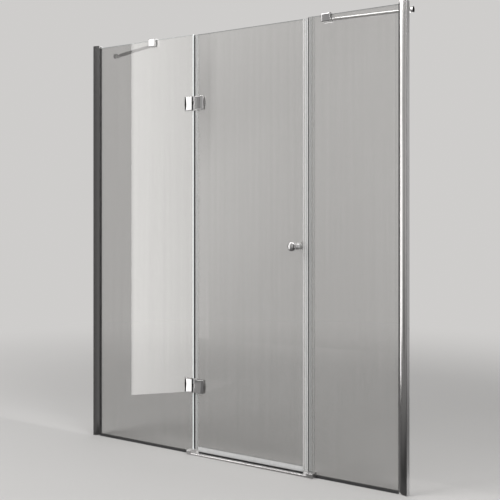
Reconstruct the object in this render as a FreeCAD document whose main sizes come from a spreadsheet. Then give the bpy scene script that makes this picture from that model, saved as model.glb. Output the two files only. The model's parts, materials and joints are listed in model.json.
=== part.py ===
import FreeCAD, Part
import math
import os
import Sketcher

# Three-panel shower door for a niche: a glass door hinged on a fixed pane, closing on a second fixed pane.
# Frame: +X right seen from outside, +Y into the shower, +Z up; origin on the floor, mid-width, mid-glass.

DRIVING = {
    # whole enclosure and its glass
    "overall_width": 1600,
    "overall_height": 1900,
    "glass_thickness": 8,
    "glass_top_drop": 10,
    "floor_gap": 5,
    "glass_arris": 0.8,
    "hinge_axis_from_left": 600,
    "closing_line_from_right": 427,
    "door_top_drop": 4,
    "door_floor_gap": 22,
    # wall profile, its wall channel, cap and gasket
    "profile_width": 34,
    "profile_wall_half": 17,
    "profile_glass_half": 9,
    "profile_crown": 3,
    "profile_wall": 2.2,
    "profile_gap": 1,
    "profile_chamber": 13,
    "profile_web": 2.2,
    "channel_wall": 2,
    "channel_clearance": 0.3,
    "channel_leg": 12,
    "wall_hole_radius": 2.75,
    "wall_hole_outer": 120,
    "wall_hole_inner": 640,
    "profile_screw_radius": 2,
    "profile_screw_from_wall": 7,
    "profile_screw_end": 250,
    "cap_thickness": 3,
    "cap_rounding": 1,
    "gasket_thickness": 1.6,
    "gasket_lip": 3,
    "edge_bed": 3,
    # floor seals, threshold and its end pieces
    "floor_seal_wall": 1.6,
    "floor_seal_height": 10,
    "threshold_height": 10,
    "threshold_front": 27,
    "threshold_back": 17,
    "threshold_rounding": 5,
    "end_piece_height": 20,
    "end_piece_front": 29,
    "end_piece_back": 19,
    "end_piece_grip": 20,
    "end_piece_reach": 3,
    "end_piece_rounding": 3,
    # hinges
    "hinge_height": 60,
    "hinge_from_floor": 307,
    "hinge_from_top": 321,
    "hinge_plate_outer": 12,
    "hinge_barrel_radius": 10.5,
    "hinge_fixed_reach": 54,
    "hinge_door_start": 6.5,
    "hinge_door_reach": 52,
    "hinge_leaf_gap": 0.5,
    "hinge_pad": 1,
    "hinge_end_rounding": 28,
    "hinge_end_bow": 5,
    "hinge_rim_rounding": 1.5,
    "hinge_pad_inset": 2.5,
    "hinge_notch_clearance": 1.5,
    "hinge_eye_radius": 6.5,
    "hinge_eye_height": 16,
    "hinge_eye_clearance": 0.5,
    "hinge_neck_half": 4,
    "hinge_neck_block": 5,
    "hinge_pin_radius": 4,
    "hinge_pin_recess": 1.5,
    "hinge_pin_clearance": 0.03,
    "hinge_bush_wall": 1.5,
    "hinge_screw_radius": 2.5,
    "hinge_screw_head_radius": 4.5,
    "hinge_screw_head": 3.5,
    "hinge_screw_bite": 5,
    "hinge_screw_rise": 17,
    "hinge_screw_out": 33,
    "glass_hole_radius": 5,
    "fixed_edge_setback": 10,
    "door_edge_setback": 8,
    # door seals and magnets
    "seal_wall": 1.2,
    "magnet_leg": 14,
    "magnet_nose": 11,
    "magnet_gap": 1,
    "magnet_width": 4,
    "magnet_depth": 6,
    "magnet_room": 0.2,
    "seal_bead_inset": 3,
    "seal_bead_pitch": 8.75,
    "seal_bead_half": 1.5,
    "seal_bead_height": 0.8,
    "hinge_seal_leg": 10,
    "hinge_seal_bulb_radius": 5,
    "hinge_seal_bulb_wall": 1,
    "hinge_seal_lip_gap": 0.6,
    "hinge_seal_lip": 1.4,
    "seal_end_gap": 1,
    "sweep_leg": 14,
    "sweep_base": 3,
    "sweep_lip": 1.2,
    "sweep_lip_offset": 2.5,
    "sweep_floor_gap": 1,
    # knob pair
    "knob_height": 946,
    "knob_from_edge": 39,
    "knob_length": 60,
    "knob_head_radius": 19,
    "knob_head_thickness": 15,
    "knob_shoulder": 6,
    "knob_neck_radius": 9,
    "knob_base_radius": 14,
    "knob_base_thickness": 6,
    "knob_rounding": 2,
    "knob_washer_thickness": 1,
    "knob_stud_radius": 3,
    "knob_stud_bite": 14,
    # stabiliser struts
    "left_clamp_from_wall": 360,
    "right_clamp_from_wall": 344,
    "left_strut_angle": 18,
    "right_strut_angle": 5,
    "clamp_width": 40,
    "clamp_above": 5,
    "clamp_below": 30,
    "clamp_front": 15,
    "clamp_back": 20,
    "clamp_pad": 1,
    "clamp_rounding": 4,
    "clamp_screw_radius": 3,
    "clamp_screw_rise": 6,
    "strut_level": 12,
    "strut_radius": 8,
    "strut_wall": 1.5,
    "strut_lug_radius": 9,
    "strut_lug_height": 18,
    "strut_eye_height": 7,
    "strut_eye_clearance": 0.3,
    "strut_pivot_out": 12,
    "strut_neck_radius": 3.4,
    "strut_neck": 8,
    "strut_spigot": 20,
    "strut_pin_radius": 3,
    "strut_pin_clearance": 0.03,
    "flange_radius": 12,
    "flange_thickness": 10,
    "flange_rounding": 1.5,
    "flange_hole_radius": 3,
    "flange_hole_depth": 8,
    # working allowance: how far an open-ended cut runs past the face it leaves
    "cut_overshoot": 1,
}
SAME_PLACE = 1e-4


class Size:
    """A size: its number now, and the sheet expression that it follows."""

    def __init__(self, value, text):
        self.value = value
        self.text = text

    def __add__(self, other):
        other = as_size(other)
        return Size(self.value + other.value, f"({self.text} + {other.text})")

    def __sub__(self, other):
        other = as_size(other)
        return Size(self.value - other.value, f"({self.text} - {other.text})")

    def __mul__(self, other):
        other = as_size(other)
        return Size(self.value * other.value, f"({self.text} * {other.text})")

    def __truediv__(self, other):
        other = as_size(other)
        return Size(self.value / other.value, f"({self.text} / {other.text})")

    def __neg__(self):
        return self * -1

    __radd__ = __add__
    __rmul__ = __mul__

    def __rsub__(self, other):
        return as_size(other) - self


def as_size(number):
    """A Size as it is, or a plain number made into one."""
    return number if isinstance(number, Size) else Size(float(number), f"({float(number)})")


def cosine(angle):
    return Size(math.cos(math.radians(angle.value)), f"cos({angle.text})")


def tangent(angle):
    return Size(math.tan(math.radians(angle.value)), f"tan({angle.text})")


def around(centre_x, centre_y, radius, degrees):
    """The point on a circle at this angle from the x axis."""
    angle = math.radians(degrees)
    return centre_x + radius * math.cos(angle), centre_y + radius * math.sin(angle)


doc = FreeCAD.newDocument("shower_door")
sheet = doc.addObject("Spreadsheet::Sheet", "Sizes")
for row, (alias, number) in enumerate(DRIVING.items(), start=1):
    sheet.set(f"A{row}", alias)
    sheet.set(f"B{row}", str(number))
    sheet.setAlias(f"B{row}", alias)
doc.recompute()
D = {alias: Size(float(number), f"Sizes.{alias}") for alias, number in DRIVING.items()}

parts = {}


# Helpers: bodies, sketches and features that stay bound to the sheet

def place(item, x=0, y=0, z=0, turn=0, axis=(0, 0, 1)):
    """Puts an object at a bound position, turned about one axis by an angle in degrees."""
    base = [as_size(v) for v in (x, y, z)]
    angle = as_size(turn)
    rotation = FreeCAD.Rotation(FreeCAD.Vector(*axis), angle.value)
    item.Placement = FreeCAD.Placement(FreeCAD.Vector(*(v.value for v in base)), rotation)
    for letter, size in zip("xyz", base):
        item.setExpression(f"Placement.Base.{letter}", size.text)
    if isinstance(turn, Size):
        item.setExpression("Placement.Rotation.Angle", turn.text)


def new_body(label, **where):
    """An empty body with its own label and place."""
    body = doc.addObject("PartDesign::Body", label)
    body.Label = label
    body.AllowCompound = True
    place(body, **where)
    return body


def new_sketch(body, plane, level):
    """A sketch on one of the body's own origin planes, raised along its normal."""
    sketch = body.newObject("Sketcher::SketchObject", f"{body.Label}_sketch")
    support = next(f for f in body.Origin.OriginFeatures if f.Role == plane)
    sketch.AttachmentSupport = (support, [""])
    sketch.MapMode = "FlatFace"
    if level is not None:
        level = as_size(level)
        sketch.AttachmentOffset = FreeCAD.Placement(FreeCAD.Vector(0, 0, level.value), FreeCAD.Rotation())
        sketch.setExpression("AttachmentOffset.Base.z", level.text)
    return sketch


def pin_point(sketch, geometry, end, x, y):
    """Holds one point of the sketch at a bound x and y."""
    for kind, axis, size in (("DistanceX", -2, x), ("DistanceY", -1, y)):
        if not isinstance(size, Size) and size == 0:
            sketch.addConstraint(Sketcher.Constraint("PointOnObject", geometry, end, axis))
            continue
        size = as_size(size)
        index = sketch.addConstraint(Sketcher.Constraint(kind, -1, 1, geometry, end, size.value))
        sketch.setExpression(f"Constraints[{index}]", size.text)


def flat(x, y):
    return FreeCAD.Vector(as_size(x).value, as_size(y).value, 0)


def outline(body, plane, points, level=None):
    """A closed sketch; a point is (x, y), or (x, y, mx, my) where an arc through (mx, my) starts."""
    sketch = new_sketch(body, plane, level)
    ends = []
    for here, there in zip(points, points[1:] + points[:1]):
        start, finish = flat(*here[:2]), flat(*there[:2])
        if len(here) == 2:
            geometry = sketch.addGeometry(Part.LineSegment(start, finish))
            ends.append((geometry, 1, 2))
            continue
        middle = flat(*here[2:])
        turns_left = (middle - start).cross(finish - middle).z > 0
        corners = (start, middle, finish) if turns_left else (finish, middle, start)
        geometry = sketch.addGeometry(Part.Arc(*corners))
        ends.append((geometry, 1, 2) if turns_left else (geometry, 2, 1))
    for (geometry, _, last), (following, first, _) in zip(ends, ends[1:] + ends[:1]):
        sketch.addConstraint(Sketcher.Constraint("Coincident", geometry, last, following, first))
    for (geometry, first, _), point in zip(ends, points):
        pin_point(sketch, geometry, first, *point[:2])
        if len(point) == 4:
            mark = sketch.addGeometry(Part.Point(flat(*point[2:])), True)
            pin_point(sketch, mark, 1, *point[2:])
            sketch.addConstraint(Sketcher.Constraint("PointOnObject", mark, 1, geometry))
    return sketch


def box_outline(body, plane, low, high, level=None):
    """A rectangle from one corner to the opposite one."""
    (x0, y0), (x1, y1) = low, high
    return outline(body, plane, [(x0, y0), (x1, y0), (x1, y1), (x0, y1)], level)


def circles(body, plane, centres, radius, level=None):
    """Circles of one bound radius."""
    sketch = new_sketch(body, plane, level)
    for x, y in centres:
        circle = Part.Circle(flat(x, y), FreeCAD.Vector(0, 0, 1), radius.value)
        geometry = sketch.addGeometry(circle)
        pin_point(sketch, geometry, 3, x, y)
        index = sketch.addConstraint(Sketcher.Constraint("Radius", geometry, radius.value))
        sketch.setExpression(f"Constraints[{index}]", radius.text)
    return sketch


def extrude(kind, body, sketch, length, both=False, back=False):
    """A Pad or a Pocket of bound length, on both sides of the sketch or turned round."""
    feature = body.newObject(f"PartDesign::{kind}", f"{body.Label}_{kind.lower()}")
    feature.Profile = sketch
    length = as_size(length)
    feature.Length = length.value
    feature.setExpression("Length", length.text)
    feature.SideType = "Symmetric" if both else "One side"
    feature.Reversed = back
    return feature


def pad(body, sketch, length, **how):
    return extrude("Pad", body, sketch, length, **how)


def pocket(body, sketch, length, **how):
    return extrude("Pocket", body, sketch, length, **how)


def through(depth):
    """The length of a two-sided cut that passes right through a wall of this depth."""
    return depth * 3


def revolve(body, sketch, axis="V_Axis"):
    """A full turn of the sketch about one of its own axes."""
    feature = body.newObject("PartDesign::Revolution", f"{body.Label}_revolution")
    feature.Profile = sketch
    feature.ReferenceAxis = (sketch, [axis])
    feature.Angle = 360
    return feature


def ease(kind, body, size, wanted):
    """A Fillet or Chamfer on the edges of the body's tip that pass the test."""
    doc.recompute()
    base = body.Tip
    names = [f"Edge{i}" for i, edge in enumerate(base.Shape.Edges, start=1) if wanted(edge)]
    feature = body.newObject(f"PartDesign::{kind}", f"{body.Label}_{kind.lower()}")
    feature.Base = (base, names)
    feature.setExpression("Radius" if kind == "Fillet" else "Size", size.text)
    return feature


def runs_along(edge, axis):
    """True for a straight edge that is parallel to the axis."""
    if edge.Curve.TypeId != "Part::GeomLine":
        return False
    return edge.Curve.Direction.cross(FreeCAD.Vector(*axis)).Length < SAME_PLACE


def near(value, size):
    return abs(value - as_size(size).value) < SAME_PLACE


def middle_of(edge):
    return edge.valueAt((edge.FirstParameter + edge.LastParameter) / 2)


def group(label, members):
    """Equal pieces that share one node as separate solids."""
    compound = doc.addObject("Part::Compound", label)
    compound.Label = label
    compound.Links = members
    parts[label] = compound


# Shared places

half_width = D["overall_width"] / 2
half_glass = D["glass_thickness"] / 2
glass_top = D["overall_height"] - D["glass_top_drop"]
glass_bottom = D["floor_gap"]
door_top = glass_top - D["door_top_drop"]
door_bottom = D["door_floor_gap"]
axis_x = D["hinge_axis_from_left"] - half_width
closing_x = half_width - D["closing_line_from_right"]
slot_half = half_glass + D["gasket_thickness"]
slot_floor = D["profile_gap"] + D["profile_chamber"] + D["profile_web"]
glass_inset = slot_floor + D["edge_bed"]
fixed_edge = axis_x - D["fixed_edge_setback"]
door_edge = axis_x + D["door_edge_setback"]
seal_half = half_glass + D["seal_wall"]
nose_left = closing_x - D["magnet_gap"] / 2
nose_right = closing_x + D["magnet_gap"] / 2
door_far = nose_left - D["magnet_nose"]
panel_near = nose_right + D["magnet_nose"]
hinge_levels = {
    "lower": D["hinge_from_floor"],
    "upper": D["overall_height"] - D["hinge_from_top"],
}
hinge_half = D["hinge_height"] / 2
hinge_rises = (-D["hinge_screw_rise"], D["hinge_screw_rise"])
plate_inner = half_glass + D["hinge_pad"]
plate_outer = D["hinge_plate_outer"]
fixed_plate_end = -plate_outer - D["hinge_leaf_gap"]
fixed_room = plate_outer + D["hinge_notch_clearance"] + D["hinge_neck_block"]
bush_radius = D["hinge_pin_radius"] + D["hinge_pin_clearance"] + D["hinge_bush_wall"]
barrel_room = D["hinge_barrel_radius"] + D["hinge_notch_clearance"]
fixed_screw_x = axis_x - D["hinge_screw_out"]
door_screw_x = axis_x + D["hinge_screw_out"]
knob_x = door_far - D["knob_from_edge"]
left_clamp_x = D["left_clamp_from_wall"] - half_width
right_clamp_x = half_width - D["right_clamp_from_wall"]
strut_z = glass_top - D["strut_level"]
WALLS = {"left": (-half_width, False), "right": (half_width, True)}


# Wall profiles: convex H section; the glass sits in the slot, a screwed channel fills the wall side

def facing(turned):
    """The angle of a wall piece: drawn for the left wall, turned half round for the right one."""
    return 180 if turned else 0


def profile_face(side):
    """The convex face of the profile, from the wall to the glass on the side y > 0 or y < 0."""
    near_wall = (D["profile_gap"], D["profile_wall_half"] * side)
    crown_x = (D["profile_gap"] + D["profile_width"]) / 2
    crown_y = (D["profile_wall_half"] + D["profile_glass_half"]) / 2 + D["profile_crown"]
    at_glass = (D["profile_width"], D["profile_glass_half"] * side)
    return near_wall, (crown_x, crown_y * side), at_glass


def wall_profile(label, wall_x, turned, screw_levels):
    """The visible extrusion on one wall, drawn with x as the distance from the wall."""
    body = new_body(label, x=wall_x, turn=facing(turned))
    front_wall, front_crown, front_glass = profile_face(-1)
    back_wall, back_crown, back_glass = profile_face(1)
    chamber_half = D["profile_wall_half"] - D["profile_wall"]
    chamber_end = D["profile_gap"] + D["profile_chamber"]
    section = outline(body, "XY_Plane", [
        front_wall + front_crown,
        front_glass,
        (D["profile_width"], -slot_half),
        (slot_floor, -slot_half),
        (slot_floor, slot_half),
        (D["profile_width"], slot_half),
        back_glass + back_crown,
        back_wall,
        (D["profile_gap"], chamber_half),
        (chamber_end, chamber_half),
        (chamber_end, -chamber_half),
        (D["profile_gap"], -chamber_half),
    ])
    pad(body, section, D["overall_height"] - D["cap_thickness"])
    screw_hole(body, screw_levels, turned)
    parts[label] = body


def wall_channel(label, wall_x, turned, screw_levels):
    """The U channel screwed to the wall, with its wall screw holes."""
    body = new_body(label, x=wall_x, turn=facing(turned))
    outer = D["profile_wall_half"] - D["profile_wall"] - D["channel_clearance"]
    inner = outer - D["channel_wall"]
    section = outline(body, "XY_Plane", [
        (0, -outer),
        (D["channel_leg"], -outer),
        (D["channel_leg"], -inner),
        (D["channel_wall"], -inner),
        (D["channel_wall"], inner),
        (D["channel_leg"], inner),
        (D["channel_leg"], outer),
        (0, outer),
    ])
    pad(body, section, D["overall_height"] - D["cap_thickness"])
    ends = (D["wall_hole_outer"], D["wall_hole_inner"])
    levels = [level for end in ends for level in (end, D["overall_height"] - end)]
    holes = circles(body, "YZ_Plane", [(0, level) for level in levels], D["wall_hole_radius"])
    pocket(body, holes, through(D["channel_wall"]), both=True)
    screw_hole(body, screw_levels, turned)
    parts[label] = body


def screw_hole(body, levels, turned):
    """Cross holes for the screws that lock the profile on its channel, on the shower side."""
    centres = [(D["profile_screw_from_wall"], level) for level in levels]
    holes = circles(body, "XZ_Plane", centres, D["profile_screw_radius"])
    pocket(body, holes, D["profile_wall_half"] * 2, back=turned)


def profile_cap(label, wall_x, turned):
    """The cap on top of the profile, with an eased rim."""
    body = new_body(label, x=wall_x, z=D["overall_height"] - D["cap_thickness"], turn=facing(turned))
    front_wall, front_crown, front_glass = profile_face(-1)
    back_wall, back_crown, back_glass = profile_face(1)
    rim = outline(body, "XY_Plane", [
        front_wall + front_crown,
        front_glass,
        back_glass + back_crown,
        back_wall,
    ])
    pad(body, rim, D["cap_thickness"])
    ease("Fillet", body, D["cap_rounding"], lambda e: near(e.BoundBox.ZMin, D["cap_thickness"]))
    parts[label] = body


def glazing_gasket(label, wall_x, turned):
    """The rubber U round the glass edge in the profile's slot, with a lip that shows at the mouth."""
    body = new_body(label, x=wall_x, z=glass_bottom, turn=facing(turned))
    mouth = D["profile_width"] + D["gasket_lip"]
    section = outline(body, "XY_Plane", [
        (slot_floor, -slot_half),
        (mouth, -slot_half),
        (mouth, -half_glass),
        (glass_inset, -half_glass),
        (glass_inset, half_glass),
        (mouth, half_glass),
        (mouth, slot_half),
        (slot_floor, slot_half),
    ])
    pad(body, section, glass_top - glass_bottom)
    parts[label] = body


def profile_screw(wall_x, turned, level):
    """One locking screw, through the profile's wall and its channel's leg on the shower side."""
    body = new_body("profile_screw", x=wall_x, turn=facing(turned))
    inner = D["profile_wall_half"] - D["profile_wall"] - D["channel_clearance"] - D["channel_wall"]
    length = D["profile_wall_half"] - inner
    sketch = circles(body, "XZ_Plane", [(D["profile_screw_from_wall"], level)], D["profile_screw_radius"],
                     level=inner if turned else -inner)
    pad(body, sketch, length, back=not turned)
    return body


lock_levels = [
    D["profile_screw_end"],
    D["overall_height"] / 2,
    D["overall_height"] - D["profile_screw_end"],
]
lock_screws = []
for side, (wall_x, turned) in WALLS.items():
    wall_profile(f"{side}_wall_profile", wall_x, turned, lock_levels)
    wall_channel(f"{side}_wall_channel", wall_x, turned, lock_levels)
    profile_cap(f"{side}_profile_cap", wall_x, turned)
    glazing_gasket(f"{side}_glazing_gasket", wall_x, turned)
    lock_screws += [profile_screw(wall_x, turned, level) for level in lock_levels]
group("profile_screws", lock_screws)


# Glass panes: notched and drilled for the hinges, drilled for the knob, with a fine arris all round

def pane(label, left, right, bottom, top, notches=(), holes=()):
    """One toughened pane on the mid-plane y = 0."""
    body = new_body(label)
    pad(body, box_outline(body, "XZ_Plane", (left, bottom), (right, top)), D["glass_thickness"], both=True)
    for low, high in notches:
        notch = box_outline(body, "XZ_Plane", low, high)
        pocket(body, notch, through(D["glass_thickness"]), both=True)
    if holes:
        bores = circles(body, "XZ_Plane", holes, D["glass_hole_radius"])
        pocket(body, bores, through(D["glass_thickness"]), both=True)
    ease("Chamfer", body, D["glass_arris"],
         lambda e: e.Curve.TypeId == "Part::GeomLine" and near(abs(middle_of(e).y), half_glass))
    parts[label] = body


def hinge_notches(edge, deepest):
    """The cut-outs beside both barrels, from past the pane's edge to the deepest point."""
    reach = hinge_half + D["hinge_notch_clearance"]
    low, high = (deepest, edge) if deepest.value < edge.value else (edge, deepest)
    return [((low, z - reach), (high, z + reach)) for z in hinge_levels.values()]


def hinge_holes(x):
    """The screw holes of both hinges in one pane."""
    return [(x, z + rise) for z in hinge_levels.values() for rise in hinge_rises]


pane("left_fixed_glass", glass_inset - half_width, fixed_edge, glass_bottom, glass_top,
     notches=hinge_notches(axis_x, axis_x - fixed_room),
     holes=hinge_holes(fixed_screw_x))
pane("right_fixed_glass", panel_near, half_width - glass_inset, glass_bottom, glass_top)
pane("door_glass", door_edge, door_far, door_bottom, door_top,
     notches=hinge_notches(axis_x, axis_x + barrel_room),
     holes=hinge_holes(door_screw_x) + [(knob_x, D["knob_height"])])


# Floor: seals under the fixed panes, the threshold and the pieces that grip the panes' lower corners

def floor_seal(label, left, right):
    """A soft U under a fixed pane, standing on the floor."""
    body = new_body(label, x=left)
    outer = half_glass + D["floor_seal_wall"]
    section = outline(body, "YZ_Plane", [
        (-outer, 0),
        (outer, 0),
        (outer, D["floor_seal_height"]),
        (half_glass, D["floor_seal_height"]),
        (half_glass, glass_bottom),
        (-half_glass, glass_bottom),
        (-half_glass, D["floor_seal_height"]),
        (-outer, D["floor_seal_height"]),
    ])
    pad(body, section, right - left)
    parts[label] = body


def threshold_end(label, low_x, high_x, pane_x0, pane_x1):
    """The block at one end of the threshold, slotted for the pane's corner."""
    body = new_body(label)
    plan = box_outline(body, "XY_Plane", (low_x, -D["end_piece_front"]), (high_x, D["end_piece_back"]))
    pad(body, plan, D["end_piece_height"])
    top = D["end_piece_height"]
    front, back = -D["end_piece_front"], D["end_piece_back"]
    ease("Fillet", body, D["end_piece_rounding"],
         lambda e: runs_along(e, (1, 0, 0)) and near(middle_of(e).z, top)
         or runs_along(e, (0, 0, 1)) and (near(middle_of(e).y, front) or near(middle_of(e).y, back)))
    slot = box_outline(body, "XY_Plane", (pane_x0, -half_glass), (pane_x1, half_glass), level=top)
    pocket(body, slot, top - glass_bottom)
    parts[label] = body


left_end = (fixed_edge - D["end_piece_grip"], fixed_edge + D["end_piece_reach"])
right_end = (nose_right, panel_near + D["end_piece_grip"])
clear_of_profile = D["profile_width"] + D["gasket_lip"]
floor_seal("left_floor_seal", clear_of_profile - half_width, left_end[0])
floor_seal("right_floor_seal", right_end[1], half_width - clear_of_profile)
threshold_end("left_threshold_end", *left_end, left_end[0] - D["cut_overshoot"], fixed_edge)
threshold_end("right_threshold_end", *right_end, panel_near, right_end[1] + D["cut_overshoot"])

threshold = new_body("threshold_bar", x=left_end[1])
rounding = D["threshold_rounding"]
quarter = rounding * (1 - math.sqrt(0.5))
shoulder = D["threshold_height"] - rounding
threshold_section = outline(threshold, "YZ_Plane", [
    (-D["threshold_front"], 0),
    (D["threshold_back"], 0),
    (D["threshold_back"], shoulder, D["threshold_back"] - quarter, D["threshold_height"] - quarter),
    (D["threshold_back"] - rounding, D["threshold_height"]),
    (rounding - D["threshold_front"], D["threshold_height"],
     quarter - D["threshold_front"], D["threshold_height"] - quarter),
    (-D["threshold_front"], shoulder),
])
pad(threshold, threshold_section, right_end[0] - left_end[1])
parts["threshold_bar"] = threshold


# Hinges: a full-height barrel on the door leaf turns on a pin held by the fixed leaf's eye

def plate(body, near_x, far_x, side):
    """A clamp plate on the side y > 0 or y < 0 of the glass; its far end falls away and is bowed."""
    fall = 34
    out = 1 if far_x.value > 0 else -1
    radius = D["hinge_end_rounding"]
    centre_x = far_x - radius * math.sin(math.radians(fall)) * out
    centre_y = (plate_outer - radius) * side
    halfway = around(centre_x, centre_y, radius, side * (90 - out * fall / 2))
    tip_y = around(centre_x, centre_y, radius, side * (90 - out * fall))[1]
    section = outline(body, "XY_Plane", [
        (near_x, plate_inner * side),
        (far_x, plate_inner * side),
        (far_x, tip_y) + halfway,
        (centre_x, plate_outer * side),
        (near_x, plate_outer * side),
    ])
    pad(body, section, D["hinge_height"], both=True)
    ease("Fillet", body, D["hinge_rim_rounding"], lambda e: on_plate_rim(e, near_x, side))
    corner_x = far_x - D["hinge_end_bow"] * out
    past_x = far_x + D["cut_overshoot"] * out
    bow = outline(body, "XZ_Plane", [
        (corner_x, -hinge_half, far_x, 0),
        (corner_x, hinge_half),
        (past_x, hinge_half),
        (past_x, -hinge_half),
    ])
    pocket(body, bow, through(plate_outer), both=True)


def on_plate_rim(edge, near_x, side):
    """True for the edges round a plate's top and bottom, all but those at the glass and at the barrel."""
    box = edge.BoundBox
    level = near(box.ZMin, box.ZMax) and near(abs(box.ZMax), hinge_half)
    at_glass = near(box.YMin, plate_inner * side) and near(box.YMax, plate_inner * side)
    at_barrel = near(box.XMin, near_x) and near(box.XMax, near_x)
    return level and not at_glass and not at_barrel


def screw_bores(body, x, radius, length, level, back):
    """Two screw bores in a plate, from the level along the plate's depth."""
    sketch = circles(body, "XZ_Plane", [(x, rise) for rise in hinge_rises], radius, level=level)
    pocket(body, sketch, length, back=back)


def fixed_leaf(label, z):
    """The outside plate on the fixed pane, with the neck and eye that hold the pin."""
    body = new_body(label, x=axis_x, z=z)
    plate(body, fixed_plate_end, -D["hinge_fixed_reach"], -1)
    neck_half = D["hinge_neck_half"]
    block_start = fixed_plate_end - D["hinge_neck_block"]
    block = box_outline(body, "XY_Plane", (block_start, -plate_inner), (fixed_plate_end, neck_half))
    pad(body, block, D["hinge_eye_height"], both=True)
    neck = box_outline(body, "XY_Plane", (fixed_plate_end, -neck_half), (0, neck_half))
    pad(body, neck, D["hinge_eye_height"], both=True)
    pad(body, circles(body, "XY_Plane", [(0, 0)], D["hinge_eye_radius"]), D["hinge_eye_height"], both=True)
    bore = circles(body, "XY_Plane", [(0, 0)], D["hinge_pin_radius"] + D["hinge_pin_clearance"])
    pocket(body, bore, D["hinge_height"], both=True)
    screw_bores(body, -D["hinge_screw_out"], D["hinge_screw_radius"], D["hinge_screw_bite"],
                level=plate_inner, back=True)
    parts[label] = body


def door_leaf(label, z):
    """The outside plate on the door with the barrel; a slot in the barrel lets the fixed neck pass."""
    body = new_body(label, x=axis_x, z=z)
    plate(body, D["hinge_door_start"], D["hinge_door_reach"], -1)
    barrel = circles(body, "XY_Plane", [(0, 0)], D["hinge_barrel_radius"])
    pad(body, barrel, D["hinge_height"], both=True)
    outside = -D["hinge_barrel_radius"] - D["cut_overshoot"]
    neck_room = D["hinge_neck_half"] + D["hinge_eye_clearance"]
    window = box_outline(body, "XY_Plane", (outside, outside), (neck_room, neck_room))
    slot_height = D["hinge_eye_height"] + D["hinge_eye_clearance"] * 2
    pocket(body, window, slot_height, both=True)
    eye_room = circles(body, "XY_Plane", [(0, 0)], D["hinge_eye_radius"] + D["hinge_eye_clearance"])
    pocket(body, eye_room, slot_height, both=True)
    bush_bore = circles(body, "XY_Plane", [(0, 0)], bush_radius)
    pocket(body, bush_bore, through(D["hinge_height"]), both=True)
    screw_bores(body, D["hinge_screw_out"], D["hinge_screw_radius"], D["hinge_screw_bite"],
                level=plate_inner, back=True)
    parts[label] = body


def back_plate(label, z, near_x, far_x, screw_x):
    """The shower-side plate of one leaf, counterbored for its screws."""
    body = new_body(label, x=axis_x, z=z)
    plate(body, near_x, far_x, 1)
    screw_bores(body, screw_x, D["hinge_screw_radius"], D["hinge_height"], level=0, back=False)
    seat = plate_outer - D["hinge_screw_head"]
    screw_bores(body, screw_x, D["hinge_screw_head_radius"], D["hinge_height"], level=-seat, back=False)
    parts[label] = body


def leaf_pads(z, low_x, high_x, screw_x):
    """The two thin pads between a leaf's plates and the glass."""
    pads = []
    for low_y in (-plate_inner, half_glass):
        body = new_body("leaf_pad", x=axis_x, z=z)
        sketch = box_outline(body, "XY_Plane", (low_x, low_y), (high_x, low_y + D["hinge_pad"]))
        pad(body, sketch, D["hinge_height"] - D["hinge_pad_inset"] * 2, both=True)
        holes = circles(body, "XZ_Plane", [(screw_x, rise) for rise in hinge_rises], D["glass_hole_radius"])
        pocket(body, holes, through(plate_inner), both=True)
        pads.append(body)
    return pads


def screw(label, shank_radius, shank, head_radius, head, **where):
    """A cap screw along its own z axis, with the head's outer face at z = 0."""
    body = new_body(label, **where)
    profile = outline(body, "XZ_Plane", [
        (0, 0),
        (head_radius, 0),
        (head_radius, head),
        (shank_radius, head),
        (shank_radius, head + shank),
        (0, head + shank),
    ])
    revolve(body, profile)
    return body


def leaf_screws(z, x):
    """The two screws of one leaf, entering from the shower side."""
    shank = plate_outer - D["hinge_screw_head"] + plate_inner + D["hinge_screw_bite"]
    return [
        screw("leaf_screw", D["hinge_screw_radius"], shank,
              D["hinge_screw_head_radius"], D["hinge_screw_head"],
              x=x, y=plate_outer, z=z + rise, turn=90, axis=(1, 0, 0))
        for rise in hinge_rises
    ]


def barrel_bushes(z):
    """The two plain bushes pressed in the barrel above and below the eye."""
    inner = D["hinge_pin_radius"] + D["hinge_pin_clearance"]
    slot_half_height = D["hinge_eye_height"] / 2 + D["hinge_eye_clearance"]
    length = hinge_half - slot_half_height
    bushes = []
    for level in (slot_half_height, -hinge_half):
        body = new_body("barrel_bush", x=axis_x, z=z + level)
        pad(body, circles(body, "XY_Plane", [(0, 0)], bush_radius), length)
        pocket(body, circles(body, "XY_Plane", [(0, 0)], inner), through(length), both=True)
        bushes.append(body)
    return bushes


def hinge_pin(z):
    """The steel pin through the bushes and the eye."""
    body = new_body("hinge_pin", x=axis_x, z=z)
    length = D["hinge_height"] - D["hinge_pin_recess"] * 2
    pad(body, circles(body, "XY_Plane", [(0, 0)], D["hinge_pin_radius"]), length, both=True)
    return body


pad_end_inset = D["hinge_pad_inset"] + D["hinge_end_bow"]
fixed_pad_span = (pad_end_inset - D["hinge_fixed_reach"], -fixed_room)
door_pad_span = (barrel_room, D["hinge_door_reach"] - pad_end_inset)
fixed_pads, door_pads, fixed_screws, door_screws, bushes, pins = [], [], [], [], [], []
for name, z in hinge_levels.items():
    fixed_leaf(f"{name}_hinge_fixed_leaf", z)
    door_leaf(f"{name}_hinge_door_leaf", z)
    back_plate(f"{name}_hinge_fixed_plate", z, fixed_plate_end, -D["hinge_fixed_reach"],
               -D["hinge_screw_out"])
    back_plate(f"{name}_hinge_door_plate", z, barrel_room, D["hinge_door_reach"], D["hinge_screw_out"])
    fixed_pads += leaf_pads(z, *fixed_pad_span, -D["hinge_screw_out"])
    door_pads += leaf_pads(z, *door_pad_span, D["hinge_screw_out"])
    fixed_screws += leaf_screws(z, fixed_screw_x)
    door_screws += leaf_screws(z, door_screw_x)
    bushes += barrel_bushes(z)
    pins.append(hinge_pin(z))
group("hinge_fixed_pads", fixed_pads)
group("hinge_door_pads", door_pads)
group("hinge_fixed_screws", fixed_screws)
group("hinge_door_screws", door_screws)
group("hinge_bushes", bushes)
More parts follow.
